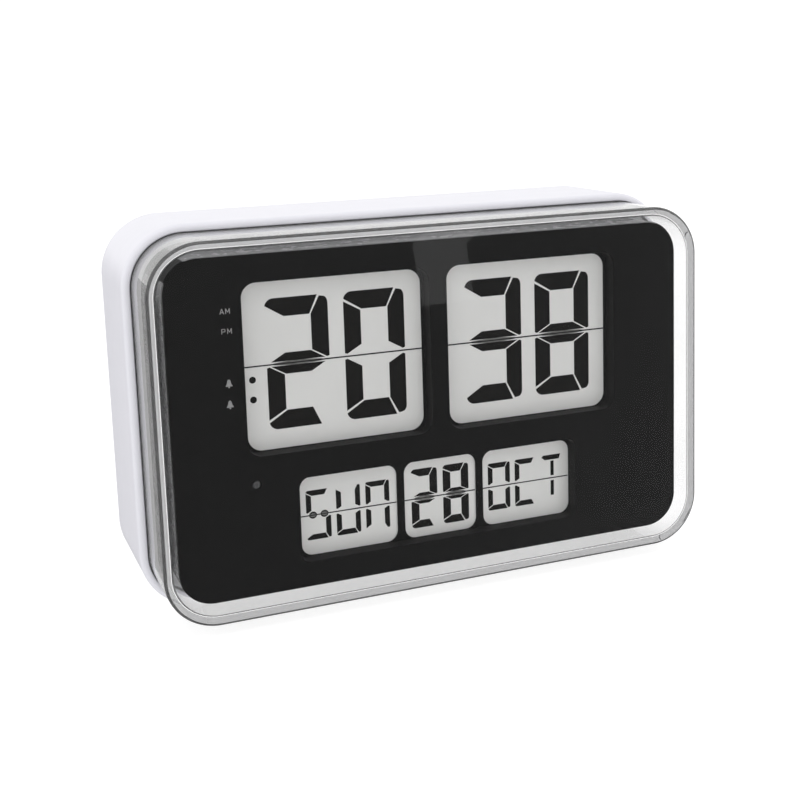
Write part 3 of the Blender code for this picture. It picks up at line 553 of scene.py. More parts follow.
def make_cover():
    """Deep clear front with rounded edges. Its inner faces mirror nothing, its rounded edges are tinted
    dark as painted shade and its rear end face has a painted glow.
    """
    outer = edge_stations(COVER_SIZE, COVER_RADIUS, 0, FRONT_Y, COVER_EDGE_ROUND, -1, 8)
    stations = list(reversed(outer))
    rear_y = COVER_HIGH.y
    stations.append((shell(COVER_SIZE, COVER_RADIUS, 0), rear_y - 0.2))
    stations.append((shell(COVER_SIZE, COVER_RADIUS, 0.2), rear_y))
    stations.append((shell(COVER_SIZE, COVER_RADIUS, COVER_WALL), rear_y))
    inner = edge_stations(COVER_SIZE, COVER_RADIUS, COVER_WALL, FRONT_Y + COVER_WALL,
                          COVER_INNER_FILLET, -1, 6)
    stations.extend(inner)
    cover = loft("cover_shell", stations, LOOKS["clear_plastic"])
    for mat in (COATED_CLEAR_LOOK, PAINTED_GLOW_RIM_LOOK, EDGE_PAINTED_SHADE_LOOK):
        cover.data.materials.append(mat)
    polygons = cover.data.polygons
    band = len(outer[0][0])
    rear = len(outer) + 1
    # the rounded edges take the dark tint (painted shade) and the rear end face the painted glow
    for polygon in polygons[:-2]:
        row = polygon.index // band
        if row == rear:
            polygon.material_index = 2
        elif 1 <= row < len(outer) - 1 or row > rear + 3:
            polygon.material_index = 3
        elif row > rear:
            polygon.material_index = 1
    polygons[-1].material_index = 1
    return fit(cover, STATIC, "clear_plastic", "clear_cover")


def make_seal():
    """Thin black seal that closes the seam between cover and casing."""
    outer, front, inner = (shell(COVER_SIZE, COVER_RADIUS, inset) for inset in (-0.27, -0.2, -0.03))
    front_y = SEAM_Y - 0.5
    back_y = SEAM_Y + 2.4
    bm = bmesh.new()
    rings = add_rings(bm, [(outer, back_y), (outer, front_y + 0.1), (front, front_y),
                           (inner, front_y), (inner, back_y)])
    join_rings(bm, rings + rings[:1])
    bmesh.ops.recalc_face_normals(bm, faces=bm.faces)
    return fit(made_object("seam_seal", bm, SEAL_LOOK), STATIC, "foot_rubber")


# The casing's features, as the frame's solids have them
CASE_SCREW_X = 86.0
CASE_SCREW_DZ = 50.0
BOSS_RADIUS = 5.2
BOSS_BORE = 3.6
BOSS_SEAT_Y = 12.0
KEY_Z = CENTRE_Z + 34.0
KEY_PITCH = 17.0
KEY_PANEL = (122.0, 17.0)
KEY_PANEL_Y = BACK_Y - 2.2
KEY_PANEL_WALL = 2.3
KEY_CAP_RADIUS = 3.6
KEY_CAP_PROUD = 1.2
SLIDE_TRAVEL = 3.0
KNOB = (4.0, 4.4)
BUTTONS = {
    "snooze_button": ("snooze_key", -1),
    "mode_button": ("mode_key", 0),
    "set_button": ("set_key", 1),
    "up_button": ("up_key", 2),
    "down_button": ("down_key", 3),
}
SLIDES = {"alarm_slide_knob": ("alarm_knob", -3), "light_slide_knob": ("light_knob", -2)}
BAY_Z = 44.0
BAY_HALF_X = 29.0
BAY_HALF_Z = 23.6
BAY_FLOOR_Y = 21.2
BAY_WALL = 1.6
DOOR_HALF_X = 33.0
DOOR_THICKNESS = 2.0
DOOR_BOTTOM_Z = DOOR_LOW.z
HINGE_Y = BACK_Y - 1.6
HINGE_BARREL = 1.5
HINGE_PIN = 0.8
HINGE_PIN_REACH = 1.6         # of the pins beyond the door's ends
HINGE_CLEARANCE = 0.4
LATCH_Z = (21.0, 22.0)
HINGE_Z = DOOR_HIGH.z - HINGE_BARREL
BUZZER = (66.0, 44.0)
BUZZER_RADIUS = 9.5
FEET = {
    "foot_front_left": (-74.0, -6.8),
    "foot_front_right": (74.0, -6.8),
    "foot_rear_left": (-74.0, 27.0),
    "foot_rear_right": (74.0, 27.0),
}


def case_screw_places():
    places = []
    for side_x in (-1, 1):
        for side_z in (-1, 1):
            places.append((side_x * CASE_SCREW_X, CENTRE_Z + side_z * CASE_SCREW_DZ))
    return places


def foot_outline(centre, grow):
    return rounded_rect(centre, (18 + 2 * grow, 8 + 2 * grow), 3 + grow, SMALL_STEPS)


def casing_body():
    """Hollow shell, open at the front, with its rear edge rounded."""
    inner_turn = REAR_ROUND - CASING_WALL
    outer = edge_stations(CASING_SIZE, CASING_RADIUS, 0, BACK_Y, REAR_ROUND, 1, 14)
    inner = edge_stations(CASING_SIZE, CASING_RADIUS, CASING_WALL, BACK_INNER_Y, inner_turn, 1, 6)
    lip = edge_stations(CASING_SIZE, CASING_RADIUS, 0, SEAM_Y, CASING_EDGE_ROUND, -1, 10)
    stations = list(reversed(outer)) + lip
    stations.append((shell(CASING_SIZE, CASING_RADIUS, CASING_WALL - 0.1), SEAM_Y))
    stations.append((shell(CASING_SIZE, CASING_RADIUS, CASING_WALL), SEAM_Y + 0.1))
    stations.extend(inner)
    return loft("casing_shell", stations, LOOKS["white_plastic"])


def casing_additions():
    bay_low = (-BAY_HALF_X - BAY_WALL, BAY_FLOOR_Y - BAY_WALL, BAY_Z - BAY_HALF_Z - BAY_WALL)
    bay_high = (BAY_HALF_X + BAY_WALL, BACK_INNER_Y + 1, BAY_Z + BAY_HALF_Z + BAY_WALL)
    rim_low = (-DOOR_HALF_X - 3.8, BACK_INNER_Y - 3.3, DOOR_BOTTOM_Z - 3.6)
    rim_high = (DOOR_HALF_X + 3.8, BACK_INNER_Y + 1, HINGE_Z + 5.2)
    panel = rounded_rect((0, KEY_Z), (KEY_PANEL[0] + 5, KEY_PANEL[1] + 5), 5.5, SMALL_STEPS)
    added = [
        block("bay_walls", bay_low, bay_high),
        block("door_rim", rim_low, rim_high),
        prism("key_panel_back", panel, KEY_PANEL_Y - KEY_PANEL_WALL, BACK_INNER_Y + 1),
        prism("buzzer_ring", circle(BUZZER, BUZZER_RADIUS + 1.8), BACK_INNER_Y - 4.2, BACK_INNER_Y + 1),
    ]
    for centre in case_screw_places():
        added.append(prism("boss", circle(centre, BOSS_RADIUS), BOSS_SEAT_Y - 3.0, BACK_INNER_Y + 1))
    return added


def casing_openings():
    removed = [
        block("bay", (-BAY_HALF_X, BAY_FLOOR_Y, BAY_Z - BAY_HALF_Z),
              (BAY_HALF_X, BACK_Y + 1, BAY_Z + BAY_HALF_Z)),
        block("door_recess", (-DOOR_HALF_X - GAP, BACK_Y - DOOR_THICKNESS - GAP, DOOR_BOTTOM_Z - GAP),
              (DOOR_HALF_X + GAP, BACK_Y + 1, HINGE_Z + HINGE_BARREL + HINGE_CLEARANCE)),
        prism("hinge_trough", circle((HINGE_Y, HINGE_Z), HINGE_BARREL + HINGE_CLEARANCE),
              -DOOR_HALF_X - GAP, DOOR_HALF_X + GAP, axis="X"),
        prism("hinge_sockets", circle((HINGE_Y, HINGE_Z), HINGE_PIN + GAP, 24),
              -DOOR_HALF_X - 2.2, DOOR_HALF_X + 2.2, axis="X"),
        prism("thumb_scoop", rounded_rect((0, DOOR_BOTTOM_Z + 1), (14, 7), 3.4, SMALL_STEPS),
              BACK_Y - 1.6, BACK_Y + 1),
        prism("key_panel", rounded_rect((0, KEY_Z), KEY_PANEL, 4.0, SMALL_STEPS), KEY_PANEL_Y, BACK_Y + 1),
        prism("buzzer_seat", circle(BUZZER, BUZZER_RADIUS + 0.6), BACK_INNER_Y - 5, BACK_INNER_Y),
    ]
    for _, column in BUTTONS.values():
        hole = circle((column * KEY_PITCH, KEY_Z), KEY_CAP_RADIUS + GAP)
        removed.append(prism("key_hole", hole, KEY_PANEL_Y - 4, BACK_Y))
    for _, column in SLIDES.values():
        slot = (KNOB[0] + SLIDE_TRAVEL + 2 * GAP, KNOB[1] + 2 * GAP)
        outline = rounded_rect((column * KEY_PITCH, KEY_Z), slot, 0.6, 4)
        removed.append(prism("slide_slot", outline, KEY_PANEL_Y - 4, BACK_Y))
    for index in range(7):
        angle = math.radians(60 * index)
        spread = 0 if index == 6 else 4.5
        centre = (BUZZER[0] + spread * math.cos(angle), BUZZER[1] + spread * math.sin(angle))
        removed.append(prism("sound_hole", circle(centre, 1.0, 24), BACK_INNER_Y - 1, BACK_Y + 1))
    for centre in case_screw_places():
        removed.append(prism("boss_bore", circle(centre, BOSS_BORE), BOSS_SEAT_Y, BACK_Y + 1))
        removed.append(prism("boss_hole", circle(centre, 1.7, 24), BOSS_SEAT_Y - 4, BOSS_SEAT_Y + 1))
    for centre in FEET.values():
        outline = foot_outline(centre, GAP)
        removed.append(prism("foot_pocket", outline, 0, CASING_LOW.z + 0.5, axis="Z"))
    return removed


def make_casing():
    casing = combine(casing_body(), casing_additions(), casing_openings())
    soften(casing)
    return fit(casing, STATIC, "white_plastic", "rear_casing")


# ---------------------------------------------------------------- mask
def time_window_centres():
    half = TIME_WINDOW_PITCH / 2
    return [(DISPLAY_X - half, TIME_Z), (DISPLAY_X + half, TIME_Z)]


def calendar_window_centres():
    """Centre of each calendar window, left to right."""
    centres = []
    left = DISPLAY_X - CALENDAR_WIDTH / 2
    for width in CALENDAR_WINDOWS:
        centres.append((left + width / 2, CALENDAR_Z))
        left += width + CALENDAR_RIB
    return centres


def grown(size, amount):
    return (size[0] + 2 * amount, size[1] + 2 * amount)


def make_mask():
    """Black block behind the cover, with a matt printed face and glossy sides, painted grey towards the
    top as a painted reflection.
    """
    # the sides carry a painted reflection: grey towards the top
    black = MASK_SIDE_LOOK
    back_y = SEAM_Y - GAP
    plate_back = MASK_FRONT_Y + MASK_PLATE
    stations = list(reversed(edge_stations(MASK_SIZE, MASK_RADIUS, 0, MASK_FRONT_Y, 0.6, -1, 5)))
    stations.append((shell(MASK_SIZE, MASK_RADIUS, 0), back_y))
    stations.append((shell(MASK_SIZE, MASK_RADIUS, MASK_WALL), back_y))
    stations.append((shell(MASK_SIZE, MASK_RADIUS, MASK_WALL), plate_back))
    mask = loft("mask_block", stations, black)
    added = []
    sensor_low, sensor_high = span("sensor_lens")
    sensor = ((sensor_low.x + sensor_high.x) / 2, (sensor_low.z + sensor_high.z) / 2)
    removed = [prism("sensor_hole", circle(sensor, 1.5), MASK_FRONT_Y - 1, plate_back + 1, black)]
    collar_back = LCD_FRONT_Y - GAP
    for centre in time_window_centres():
        outer = rounded_rect(centre, grown(TIME_WINDOW, COLLAR_WALL),
                             TIME_WINDOW_RADIUS + COLLAR_WALL, WINDOW_STEPS)
        added.append(prism("time_collar", outer, MASK_FRONT_Y + 1, collar_back, black))
        inner = rounded_rect(centre, TIME_WINDOW, TIME_WINDOW_RADIUS, WINDOW_STEPS)
        removed.append(prism("time_window", inner, MASK_FRONT_Y - 1, collar_back + 1, black))
    calendar = (CALENDAR_WIDTH, CALENDAR_HEIGHT)
    centre = (DISPLAY_X, CALENDAR_Z)
    outer = rounded_rect(centre, grown(calendar, COLLAR_WALL), CALENDAR_RADIUS + COLLAR_WALL,
                         WINDOW_STEPS)
    added.append(prism("calendar_collar", outer, MASK_FRONT_Y + 1, BEZEL_LOW.y - GAP, black))
    inner = rounded_rect(centre, calendar, CALENDAR_RADIUS, WINDOW_STEPS)
    removed.append(prism("calendar_window", inner, MASK_FRONT_Y - 1, collar_back, black))
    combine(mask, added, removed)
    mask.data.materials.append(LOOKS["black_film"])
    face_half = (MASK_SIZE[0] / 2 - 1.0, MASK_SIZE[1] / 2 - 1.0)
    for polygon in mask.data.polygons:
        centre = polygon.center / MM
        inside = abs(centre.x) < face_half[0] and abs(centre.z - CENTRE_Z) < face_half[1]
        if inside or polygon.normal.y < -0.9:
            polygon.material_index = 1
    soften(mask, 0.3)
    return fit(mask, STATIC, "black_gloss_plastic", "display_mask")


def make_bezel():
    """Black film with three rounded windows, lying on the calendar glass."""
    film = LOOKS["black_film"]
    outline = rounded_rect((DISPLAY_X, CALENDAR_Z), grown((CALENDAR_WIDTH, CALENDAR_HEIGHT), 1.1),
                           CALENDAR_RADIUS + 1.1, WINDOW_STEPS)
    bezel = prism("bezel_film", outline, BEZEL_LOW.y, BEZEL_HIGH.y, film)
    removed = []
    left_strip = FILM_LEFT_STRIP
    for centre, width in zip(calendar_window_centres(), CALENDAR_WINDOWS):
        middle = (centre[0] + left_strip / 2, centre[1] - FILM_TOP_STRIP / 2)
        size = (width - left_strip, CALENDAR_HEIGHT - FILM_TOP_STRIP)
        window = rounded_rect(middle, size, FILM_CORNER, WINDOW_STEPS)
        removed.append(prism("window", window, BEZEL_LOW.y - 1, BEZEL_HIGH.y + 1, film))
        left_strip = 0.0
    combine(bezel, (), removed)
    return fit(bezel, STATIC, "black_film", "calendar_bezel")


def make_time_film():
    """Black film with two rounded windows, lying on the time glass."""
    film = LOOKS["black_film"]
    front_y = LCD_FRONT_Y - TIME_FILM_FRONT
    back_y = LCD_FRONT_Y - TIME_FILM_BACK
    size = (TIME_WINDOW_PITCH + TIME_WINDOW[0] + 3.0, TIME_WINDOW[1] + 2.6)
    outline = rounded_rect((DISPLAY_X, TIME_Z), size, TIME_WINDOW_RADIUS, WINDOW_STEPS)
    sheet = prism("time_film", outline, front_y, back_y, film)
    removed = []
    for left, right in zip(TIME_FILM_LEFTS, TIME_FILM_RIGHTS):
        middle = ((left + right) / 2, TIME_Z - TIME_FILM_DROP)
        window = rounded_rect(middle, (right - left, TIME_FILM_HEIGHT), TIME_FILM_CORNER, WINDOW_STEPS)
        removed.append(prism("window", window, front_y - 1, back_y + 1, film))
    combine(sheet, (), removed)
    return fit(sheet, STATIC, "black_film")


# ---------------------------------------------------------------- numerals
class Cell:
    """Proportions of one character: bars lie flat, posts stand, the waist is the middle bar."""

    def __init__(self, width, half, bar, post, waist, slot, corner, gap):
        self.width = width        # of the whole character
        self.half = half          # from the card line to the top
        self.bar = bar            # thickness of the flat bars
        self.post = post          # thickness of the standing posts
        self.waist = waist        # from the card line to the middle bar's far edge
        self.slot = slot          # from the card line to the middle bar's near edge
        self.corner = corner      # radius of the outer corners
        self.gap = gap            # between neighbouring segments

    def top_bar(self):
        rounding = arc((self.corner, self.half - self.corner), self.corner, 168, 90, 6)
        return rounding + [
            (self.width - 0.6 * self.post, self.half),
            (self.width - self.post - 1.2 * self.gap, self.half - self.bar),
            (self.post + self.gap, self.half - self.bar),
        ]

    def right_post(self):
        centre = (self.width - self.corner, self.half - self.corner)
        return [(self.width - 0.48 * self.post, self.half - self.gap)] + arc(
            centre, self.corner, 48, 0, 6) + [
            (self.width, self.slot + self.gap),
            (self.width - 2 * self.gap, self.slot + 0.3 * self.gap),
            (self.width - self.post, self.waist + 0.5 * self.gap),
            (self.width - self.post, self.half - self.bar),
        ]

    def left_post(self):
        return [
            (0, self.half - self.corner - 0.7 * self.gap),
            (self.post, self.half - self.bar - self.gap),
            (self.post, self.waist + 0.5 * self.gap),
            (2 * self.gap, self.slot + 0.3 * self.gap),
            (0, self.slot + self.gap),
        ]

    def middle_bar(self):
        return [
            (3.5 * self.gap, self.slot),
            (self.post + self.gap, self.waist),
            (self.width - self.post - 1.2 * self.gap, self.waist),
            (self.width - 3.7 * self.gap, self.slot),
        ]

    def spindle(self):
        """Grey lens round the card line, between the halves of the middle bar."""
        left = 2.6 * self.gap
        right = self.width - 2.9 * self.gap
        upper = []
        lower = []
        for step in range(1, 12):
            share = step / 12
            height = self.slot * math.sin(math.pi * share) ** 0.6
            u = left + (right - left) * share
            upper.append((u, height))
            lower.append((u, -height))
        return [(left, 0.0)] + upper + [(right, 0.0)] + list(reversed(lower))


def below(outline):
    """The mirror image below the card line."""
    return [(u, -v) for u, v in outline]


def glyph_outlines(cell, lit):
    """Outlines of the lit segments, which are named a to g clockwise from the top."""
    upper = {"a": cell.top_bar, "b": cell.right_post, "f": cell.left_post}
    lower = {"d": cell.top_bar, "c": cell.right_post, "e": cell.left_post}
    outlines = []
    for segment in lit:
        if segment in upper:
            outlines.append(upper[segment]())
        elif segment in lower:
            outlines.append(below(lower[segment]()))
        elif segment == "g":
            outlines.append(cell.middle_bar())
            outlines.append(below(cell.middle_bar()))
        elif segment == "o":
            outlines.extend(middle_beads(cell))
        elif segment == "t":
            outlines.extend(tee_outlines(cell))
    return outlines


def middle_beads(cell):
    """Two oval beads that stand for the middle bar of a letter."""
    beads = []
    for centre in (0.27 * cell.width, 0.74 * cell.width):
        points = []
        for step in range(20):
            angle = 2 * math.pi * step / 20
            points.append((centre + 1.4 * math.cos(angle), 1.25 * math.sin(angle)))
        beads.append(points)
    return beads


def tee_outlines(cell):
    """Top bar with two tapered ends over a central stem in two halves."""
    bar = [
        (0.1, cell.half - 0.7),
        (0.9, cell.half),
        (cell.width - 0.9, cell.half),
        (cell.width - 1.5, cell.half - 0.95 * cell.bar),
        (1.5, cell.half - 0.95 * cell.bar),
    ]
    middle = 0.5 * cell.width + 0.1
    stem = rectangle((middle - 0.65, cell.slot + 0.2), (middle + 0.65, cell.half - cell.bar - 0.4))
    foot = rectangle((middle - 0.65, -6.6), (middle + 0.65, -cell.slot - 0.2))
    return [bar, stem, foot]


LIT = {
    "0": "abcdef",
    "2": "abged",
    "3": "abgcd",
    "8": "abcdefg",
    "S": "afocd",
    "U": "bcdef",
    "N": "abcef",
    "O": "abcdef",
    "C": "adef",
    "T": "t",
}
TIME_CELL = Cell(21.8, 22.3, 6.3, 6.0, 3.6, 0.75, 3.0, 0.42)
DATE_CELL = Cell(9.9, 10.8, 2.75, 2.9, 2.0, 0.85, 1.4, 0.26)
LETTER_CELL = Cell(8.75, 8.8, 1.9, 1.85, 1.5, 0.75, 0.8, 0.24)
SEGMENT_DEPTH = 0.09
SPINDLE_DEPTH = 0.15
CALENDAR_LINE_DROP = 0.8       # the calendar's card line lies a little under its windows' middle


def flat_shapes(name, outlines, origin, depth, mat, ground=LCD_FRONT_Y):
    """Thin closed shapes standing on a plane that faces the viewer."""
    bm = bmesh.new()
    rim = min(0.02, depth / 3)
    for outline in outlines:
        placed = [(origin[0] + u, origin[1] + v) for u, v in outline]
        middle = (sum(p[0] for p in placed) / len(placed), sum(p[1] for p in placed) / len(placed))
        inner = []
        for u, v in placed:
            reach = math.hypot(u - middle[0], v - middle[1])
            share = 1 - rim / reach
            inner.append((middle[0] + (u - middle[0]) * share, middle[1] + (v - middle[1]) * share))
        add_loft(bm, [(inner, ground - depth), (placed, ground - depth + rim), (placed, ground - 0.01)])
    return made_object(name, bm, mat)


def print_on_glass(name, outlines, origin, depth, mat):
    return fit(flat_shapes(name, outlines, origin, depth, mat), STATIC, "lcd_glass")


def make_character(name, symbol, cell, origin):
    lit = LIT[symbol]
    print_on_glass(name + "_segments", glyph_outlines(cell, lit), origin, SEGMENT_DEPTH, SEGMENT_LOOK)
    if "g" in lit:
        print_on_glass(name + "_spindle", [cell.spindle()], origin, SPINDLE_DEPTH, SPINDLE_LOOK)
    if "o" in lit:
        cores = []
        for bead in middle_beads(cell):
            centre = sum(point[0] for point in bead) / len(bead)
            cores.append([(centre + 0.8 * (u - centre), 0.55 * v) for u, v in bead])
        print_on_glass(name + "_beads", cores, origin, SPINDLE_DEPTH, SPINDLE_LOOK)


def make_card_line(name, centre, width, thickness, z):
    left = centre[0] - width / 2 + 0.15
    outline = rectangle((left, -thickness / 2), (left + width - 0.3, thickness / 2))
    split = [(u - left, v) for u, v in outline]
    print_on_glass(name, [split], (left, z), SPINDLE_DEPTH + 0.04, LINE_LOOK)


def make_time_display():
    """Hours and minutes, with a card line across each window and two colon dots."""
    offsets = {"tens": -23.6, "units": 3.7}
    shown = {"hour": "20", "minute": "38"}
    for (part, text), centre in zip(shown.items(), time_window_centres()):
        for (place, offset), symbol in zip(offsets.items(), text):
            origin = (centre[0] + offset, TIME_Z)
            make_character("%s_%s" % (part, place), symbol, TIME_CELL, origin)
        make_card_line(part + "_card_line", centre, TIME_WINDOW[0], 0.42, TIME_Z)
    hour_x = time_window_centres()[0][0]
    dots = [circle((0, -4.5), 1.15, 32), circle((0, -11.25), 1.15, 32)]
    print_on_glass("alarm_dots", dots, (hour_x - 28.7, TIME_Z), SEGMENT_DEPTH, SEGMENT_LOOK)


def make_calendar_display():
    """Day name, date and month name."""
    line_z = CALENDAR_Z - CALENDAR_LINE_DROP
    rows = (
        ("day", "SUN", LETTER_CELL, -48.3, 10.75),
        ("date", "28", DATE_CELL, -9.8, 12.1),
        ("month", "OCT", LETTER_CELL, 19.9, 10.75),
    )
    for (part, text, cell, start, pitch), centre, width in zip(
            rows, calendar_window_centres(), CALENDAR_WINDOWS):
        for index, symbol in enumerate(text):
            origin = (DISPLAY_X + start + pitch * index, line_z)
            make_character("%s_%d" % (part, index + 1), symbol, cell, origin)
        make_card_line(part + "_card_line", centre, width, 0.34, line_z)


# ---------------------------------------------------------------- prints on the mask
def stroke(start, end, width):
    """A straight stroke with square ends."""
    along = Vector((end[0] - start[0], end[1] - start[1])).normalized()
    side = Vector((-along.y, along.x)) * width / 2
    points = (Vector(start) + side, Vector(start) - side, Vector(end) - side, Vector(end) + side)
    return [(point.x, point.y) for point in points]


def letter_strokes(symbol, height, width):
    """Strokes of the three letters in the morning and afternoon marks."""
    pen = height * 0.15
    edge = width - pen / 2
    near = pen / 2
    if symbol == "A":
        lines = [((near, 0), (width / 2, height)), ((edge, 0), (width / 2, height)),
                 ((width * 0.22, height * 0.32), (width * 0.78, height * 0.32))]
    elif symbol == "P":
        lines = [((near, 0), (near, height)), ((near, height - near), (edge * 0.8, height - near)),
                 ((near, height * 0.45), (edge * 0.8, height * 0.45)),
                 ((edge * 0.85, height * 0.93), (edge * 0.85, height * 0.45))]
    else:
        lines = [((near, 0), (near, height)), ((edge, 0), (edge, height)),
                 ((near, height), (width / 2, height * 0.3)),
                 ((edge, height), (width / 2, height * 0.3))]
    return [stroke(start, end, pen) for start, end in lines]


def bell_outline(scale):
    """Bell with a flared rim."""
    right = [(0.0, 1.0), (0.22, 0.92), (0.40, 0.62), (0.46, 0.2), (0.62, -0.25), (0.85, -0.55),
             (0.85, -0.72)]
    left = [(-u, v) for u, v in reversed(right[1:])]
    return [(u * scale, v * scale) for u, v in right + left]


def make_mask_prints():
    height = 1.75
    for name, text, centre in (("am_mark", "AM", (-74.3, 39.6)), ("pm_mark", "PM", (-74.0, 33.05))):
        outlines = []
        for index, symbol in enumerate(text):
            for outline in letter_strokes(symbol, height, 1.55):
                shift = 1.9 * index - 1.75
                outlines.append([(u + shift, v - height / 2) for u, v in outline])
        origin = (centre[0], CENTRE_Z + centre[1])
        mark = flat_shapes(name, outlines, origin, 0.03, PRINT_LOOK, MASK_FRONT_Y)
        fit(mark, STATIC, "black_gloss_plastic")
    for name, z in (("alarm_mark_1", 15.8), ("alarm_mark_2", 8.8)):
        clapper = circle((0, -1.25), 0.28, 16)
        origin = (-74.2, CENTRE_Z + z)
        mark = flat_shapes(name, [bell_outline(1.35), clapper], origin, 0.03, PRINT_LOOK,
                           MASK_FRONT_Y)
        fit(mark, STATIC, "black_gloss_plastic")


# ---------------------------------------------------------------- keys and slides
def make_buttons():
    """Keys with a dished top and a rounded rim; each keeps its flange behind the panel."""
    top = KEY_PANEL_Y + KEY_CAP_PROUD
    flange_y = KEY_PANEL_Y - KEY_PANEL_WALL - GAP
    rim = 0.55
    profile = [(0.8, top - 0.28), (1.8, top - 0.2), (2.5, top - 0.08)]
    for radius, y in arc((KEY_CAP_RADIUS - rim, top - rim), rim, 90, 0, 6):
        profile.append((radius, y))
    profile += [(KEY_CAP_RADIUS, flange_y), (4.7, flange_y), (4.7, flange_y - 0.9),
                (1.5, flange_y - 0.9), (1.5, flange_y - 3.9)]
    for node, (body, column) in BUTTONS.items():
        cap = turned(node + "_cap", profile, (column * KEY_PITCH, KEY_Z), LOOKS["grey_key_plastic"])
        fit(cap, body, "grey_key_plastic", node)


def make_slides():
    """Ribbed slide knobs."""
    top = KEY_PANEL_Y + KEY_CAP_PROUD
    flange_y = KEY_PANEL_Y - KEY_PANEL_WALL - GAP
    mat = LOOKS["switch_plastic"]
    for node, (body, column) in SLIDES.items():
        x = column * KEY_PITCH - SLIDE_TRAVEL / 2
        low = (x - KNOB[0] / 2, flange_y - 1, KEY_Z - KNOB[1] / 2)
        high = (x + KNOB[0] / 2, top, KEY_Z + KNOB[1] / 2)
        knob = block(node + "_cap", low, high, mat)
        added = [
            block("flange", (x - 3.6, flange_y - 0.9, KEY_Z - 3.4), (x + 3.6, flange_y, KEY_Z + 3.4), mat),
            block("stem", (x - 1, flange_y - 3.6, KEY_Z - 1), (x + 1, flange_y - 0.5, KEY_Z + 1), mat),
        ]
        removed = []
        for offset in (-1.1, 0.0, 1.1):
            removed.append(block("groove", (x + offset - 0.25, top - 0.5, KEY_Z - 3),
                                 (x + offset + 0.25, top + 1, KEY_Z + 3), mat))
        combine(knob, added, removed)
        soften(knob, 0.12, 2)
        fit(knob, body, "switch_plastic", node)


def make_panel_marks():
    """Small signs under the keys: a bell, a lamp, a bar, squares and two arrows."""
    z = KEY_Z - 6.3
    ray = []
    for index in range(8):
        angle = math.radians(45 * index)
        inner = (0.62 * math.cos(angle), 0.62 * math.sin(angle))
        outer = (1.0 * math.cos(angle), 1.0 * math.sin(angle))
        ray.append(stroke(inner, outer, 0.2))
    signs = {
        "alarm_sign": (-3, [bell_outline(1.0), circle((0, -0.9), 0.2, 16)]),
        "light_sign": (-2, [circle((0, 0), 0.45, 24)] + ray),
        "snooze_sign": (-1, [rounded_rect((0, 0), (2.4, 0.7), 0.3, 6)]),
        "mode_sign": (0, [rounded_rect((-0.75, 0), (0.9, 0.9), 0.15, 4),
                          rounded_rect((0.75, 0), (0.9, 0.9), 0.15, 4)]),
        "set_sign": (1, [circle((0, 0), 0.55, 24)]),
        "up_sign": (2, [[(-0.9, -0.6), (0.9, -0.6), (0.0, 0.8)]]),
        "down_sign": (3, [[(-0.9, 0.6), (0.0, -0.8), (0.9, 0.6)]]),
    }
    for name, (column, outlines) in signs.items():
        bm = bmesh.new()
        for outline in outlines:
            placed = [(column * KEY_PITCH + u, z + v) for u, v in outline]
            add_loft(bm, [(placed, KEY_PANEL_Y + 0.005), (placed, KEY_PANEL_Y + 0.04)])
        fit(made_object(name, bm, MARK_LOOK), STATIC, "white_plastic")


# ---------------------------------------------------------------- battery bay
def door_section(inner_y):
    """Door seen from its end: a flat panel whose top edge rolls into the hinge barrel."""
    radius = BACK_Y - HINGE_Y
    last = math.pi + math.acos((inner_y - HINGE_Y) / -radius)
    points = [(inner_y, DOOR_BOTTOM_Z), (BACK_Y, DOOR_BOTTOM_Z)]
    for step in range(BARREL_STEPS + 1):
        angle = last * step / BARREL_STEPS
        points.append((HINGE_Y + radius * math.cos(angle), HINGE_Z + radius * math.sin(angle)))
    return points


def make_door():
    """Battery door with a hinge barrel, a latch tongue and grip ridges."""
    white = LOOKS["white_plastic"]
    inner_y = BACK_Y - DOOR_THICKNESS
    door = prism("door_panel", door_section(inner_y), -DOOR_HALF_X, DOOR_HALF_X, white, "X")
    added = [
        prism("pins", circle((HINGE_Y, HINGE_Z), HINGE_PIN, 24), -DOOR_HALF_X - HINGE_PIN_REACH,
              DOOR_HALF_X + HINGE_PIN_REACH, white, "X"),
        block("latch", (-5, inner_y - 5.0, LATCH_Z[0]), (5, inner_y + 0.5, LATCH_Z[1]), white),
    ]
    grooves = []
    for row in range(4):
        z = DOOR_BOTTOM_Z + 6.5 + 2.2 * row
        groove = rounded_rect((0, z), (18 - 2 * row, 1.0), 0.48, 6)
        grooves.append(prism("grip_groove", groove, BACK_Y - 0.5, BACK_Y + 1, white))
    arrow = [(-3.0, 38.5), (0.0, 35.0), (3.0, 38.5)]
    grooves.append(prism("opening_arrow", arrow, BACK_Y - 0.25, BACK_Y + 1, white))
    combine(door, added, grooves)
    soften(door, 0.2)
    return fit(door, "door", "white_plastic", "battery_door")


def make_cells():
    """Dry cells: a shrink sleeve that stops at the rims, steel ends and a contact nub."""
    for index in range(3):
        node = "aa_cell_%d" % (index + 1)
        low, high = span(node)
        centre = ((low.y + high.y) / 2, (low.z + high.z) / 2)
        radius = (high.z - low.z) / 2
        length = high.x - low.x
        tip = high.x if index != 1 else low.x
        way = -1 if index != 1 else 1
        profile = [(1.6, 0.0), (2.3, 0.1), (2.7, 0.4), (2.75, 1.0), (4.4, 1.05), (4.7, 1.25),
                   (5.9, 1.2)]
        profile += [(radius - 0.9, 1.15), (radius - 0.35, 1.25), (radius, 1.6),
                    (radius, length - 0.6), (radius - 0.35, length - 0.25),
                    (radius - 1.0, length - 0.2), (radius - 1.4, length - 0.35),
                    (4.0, length - 0.3), (3.2, length)]
        placed = [(r, tip + way * x) for r, x in profile]
        cell = turned(node + "_body", placed, centre, LOOKS["plated_steel"], "X")
        cell.data.materials.append(LOOKS["cell_sleeve"])
        for polygon in cell.data.polygons:
            middle = polygon.center / MM
            reach = math.hypot(middle.y - centre[0], middle.z - centre[1])
            if reach > radius - 0.8:
                polygon.material_index = 1
        fit(cell, STATIC, "cell_sleeve", node)


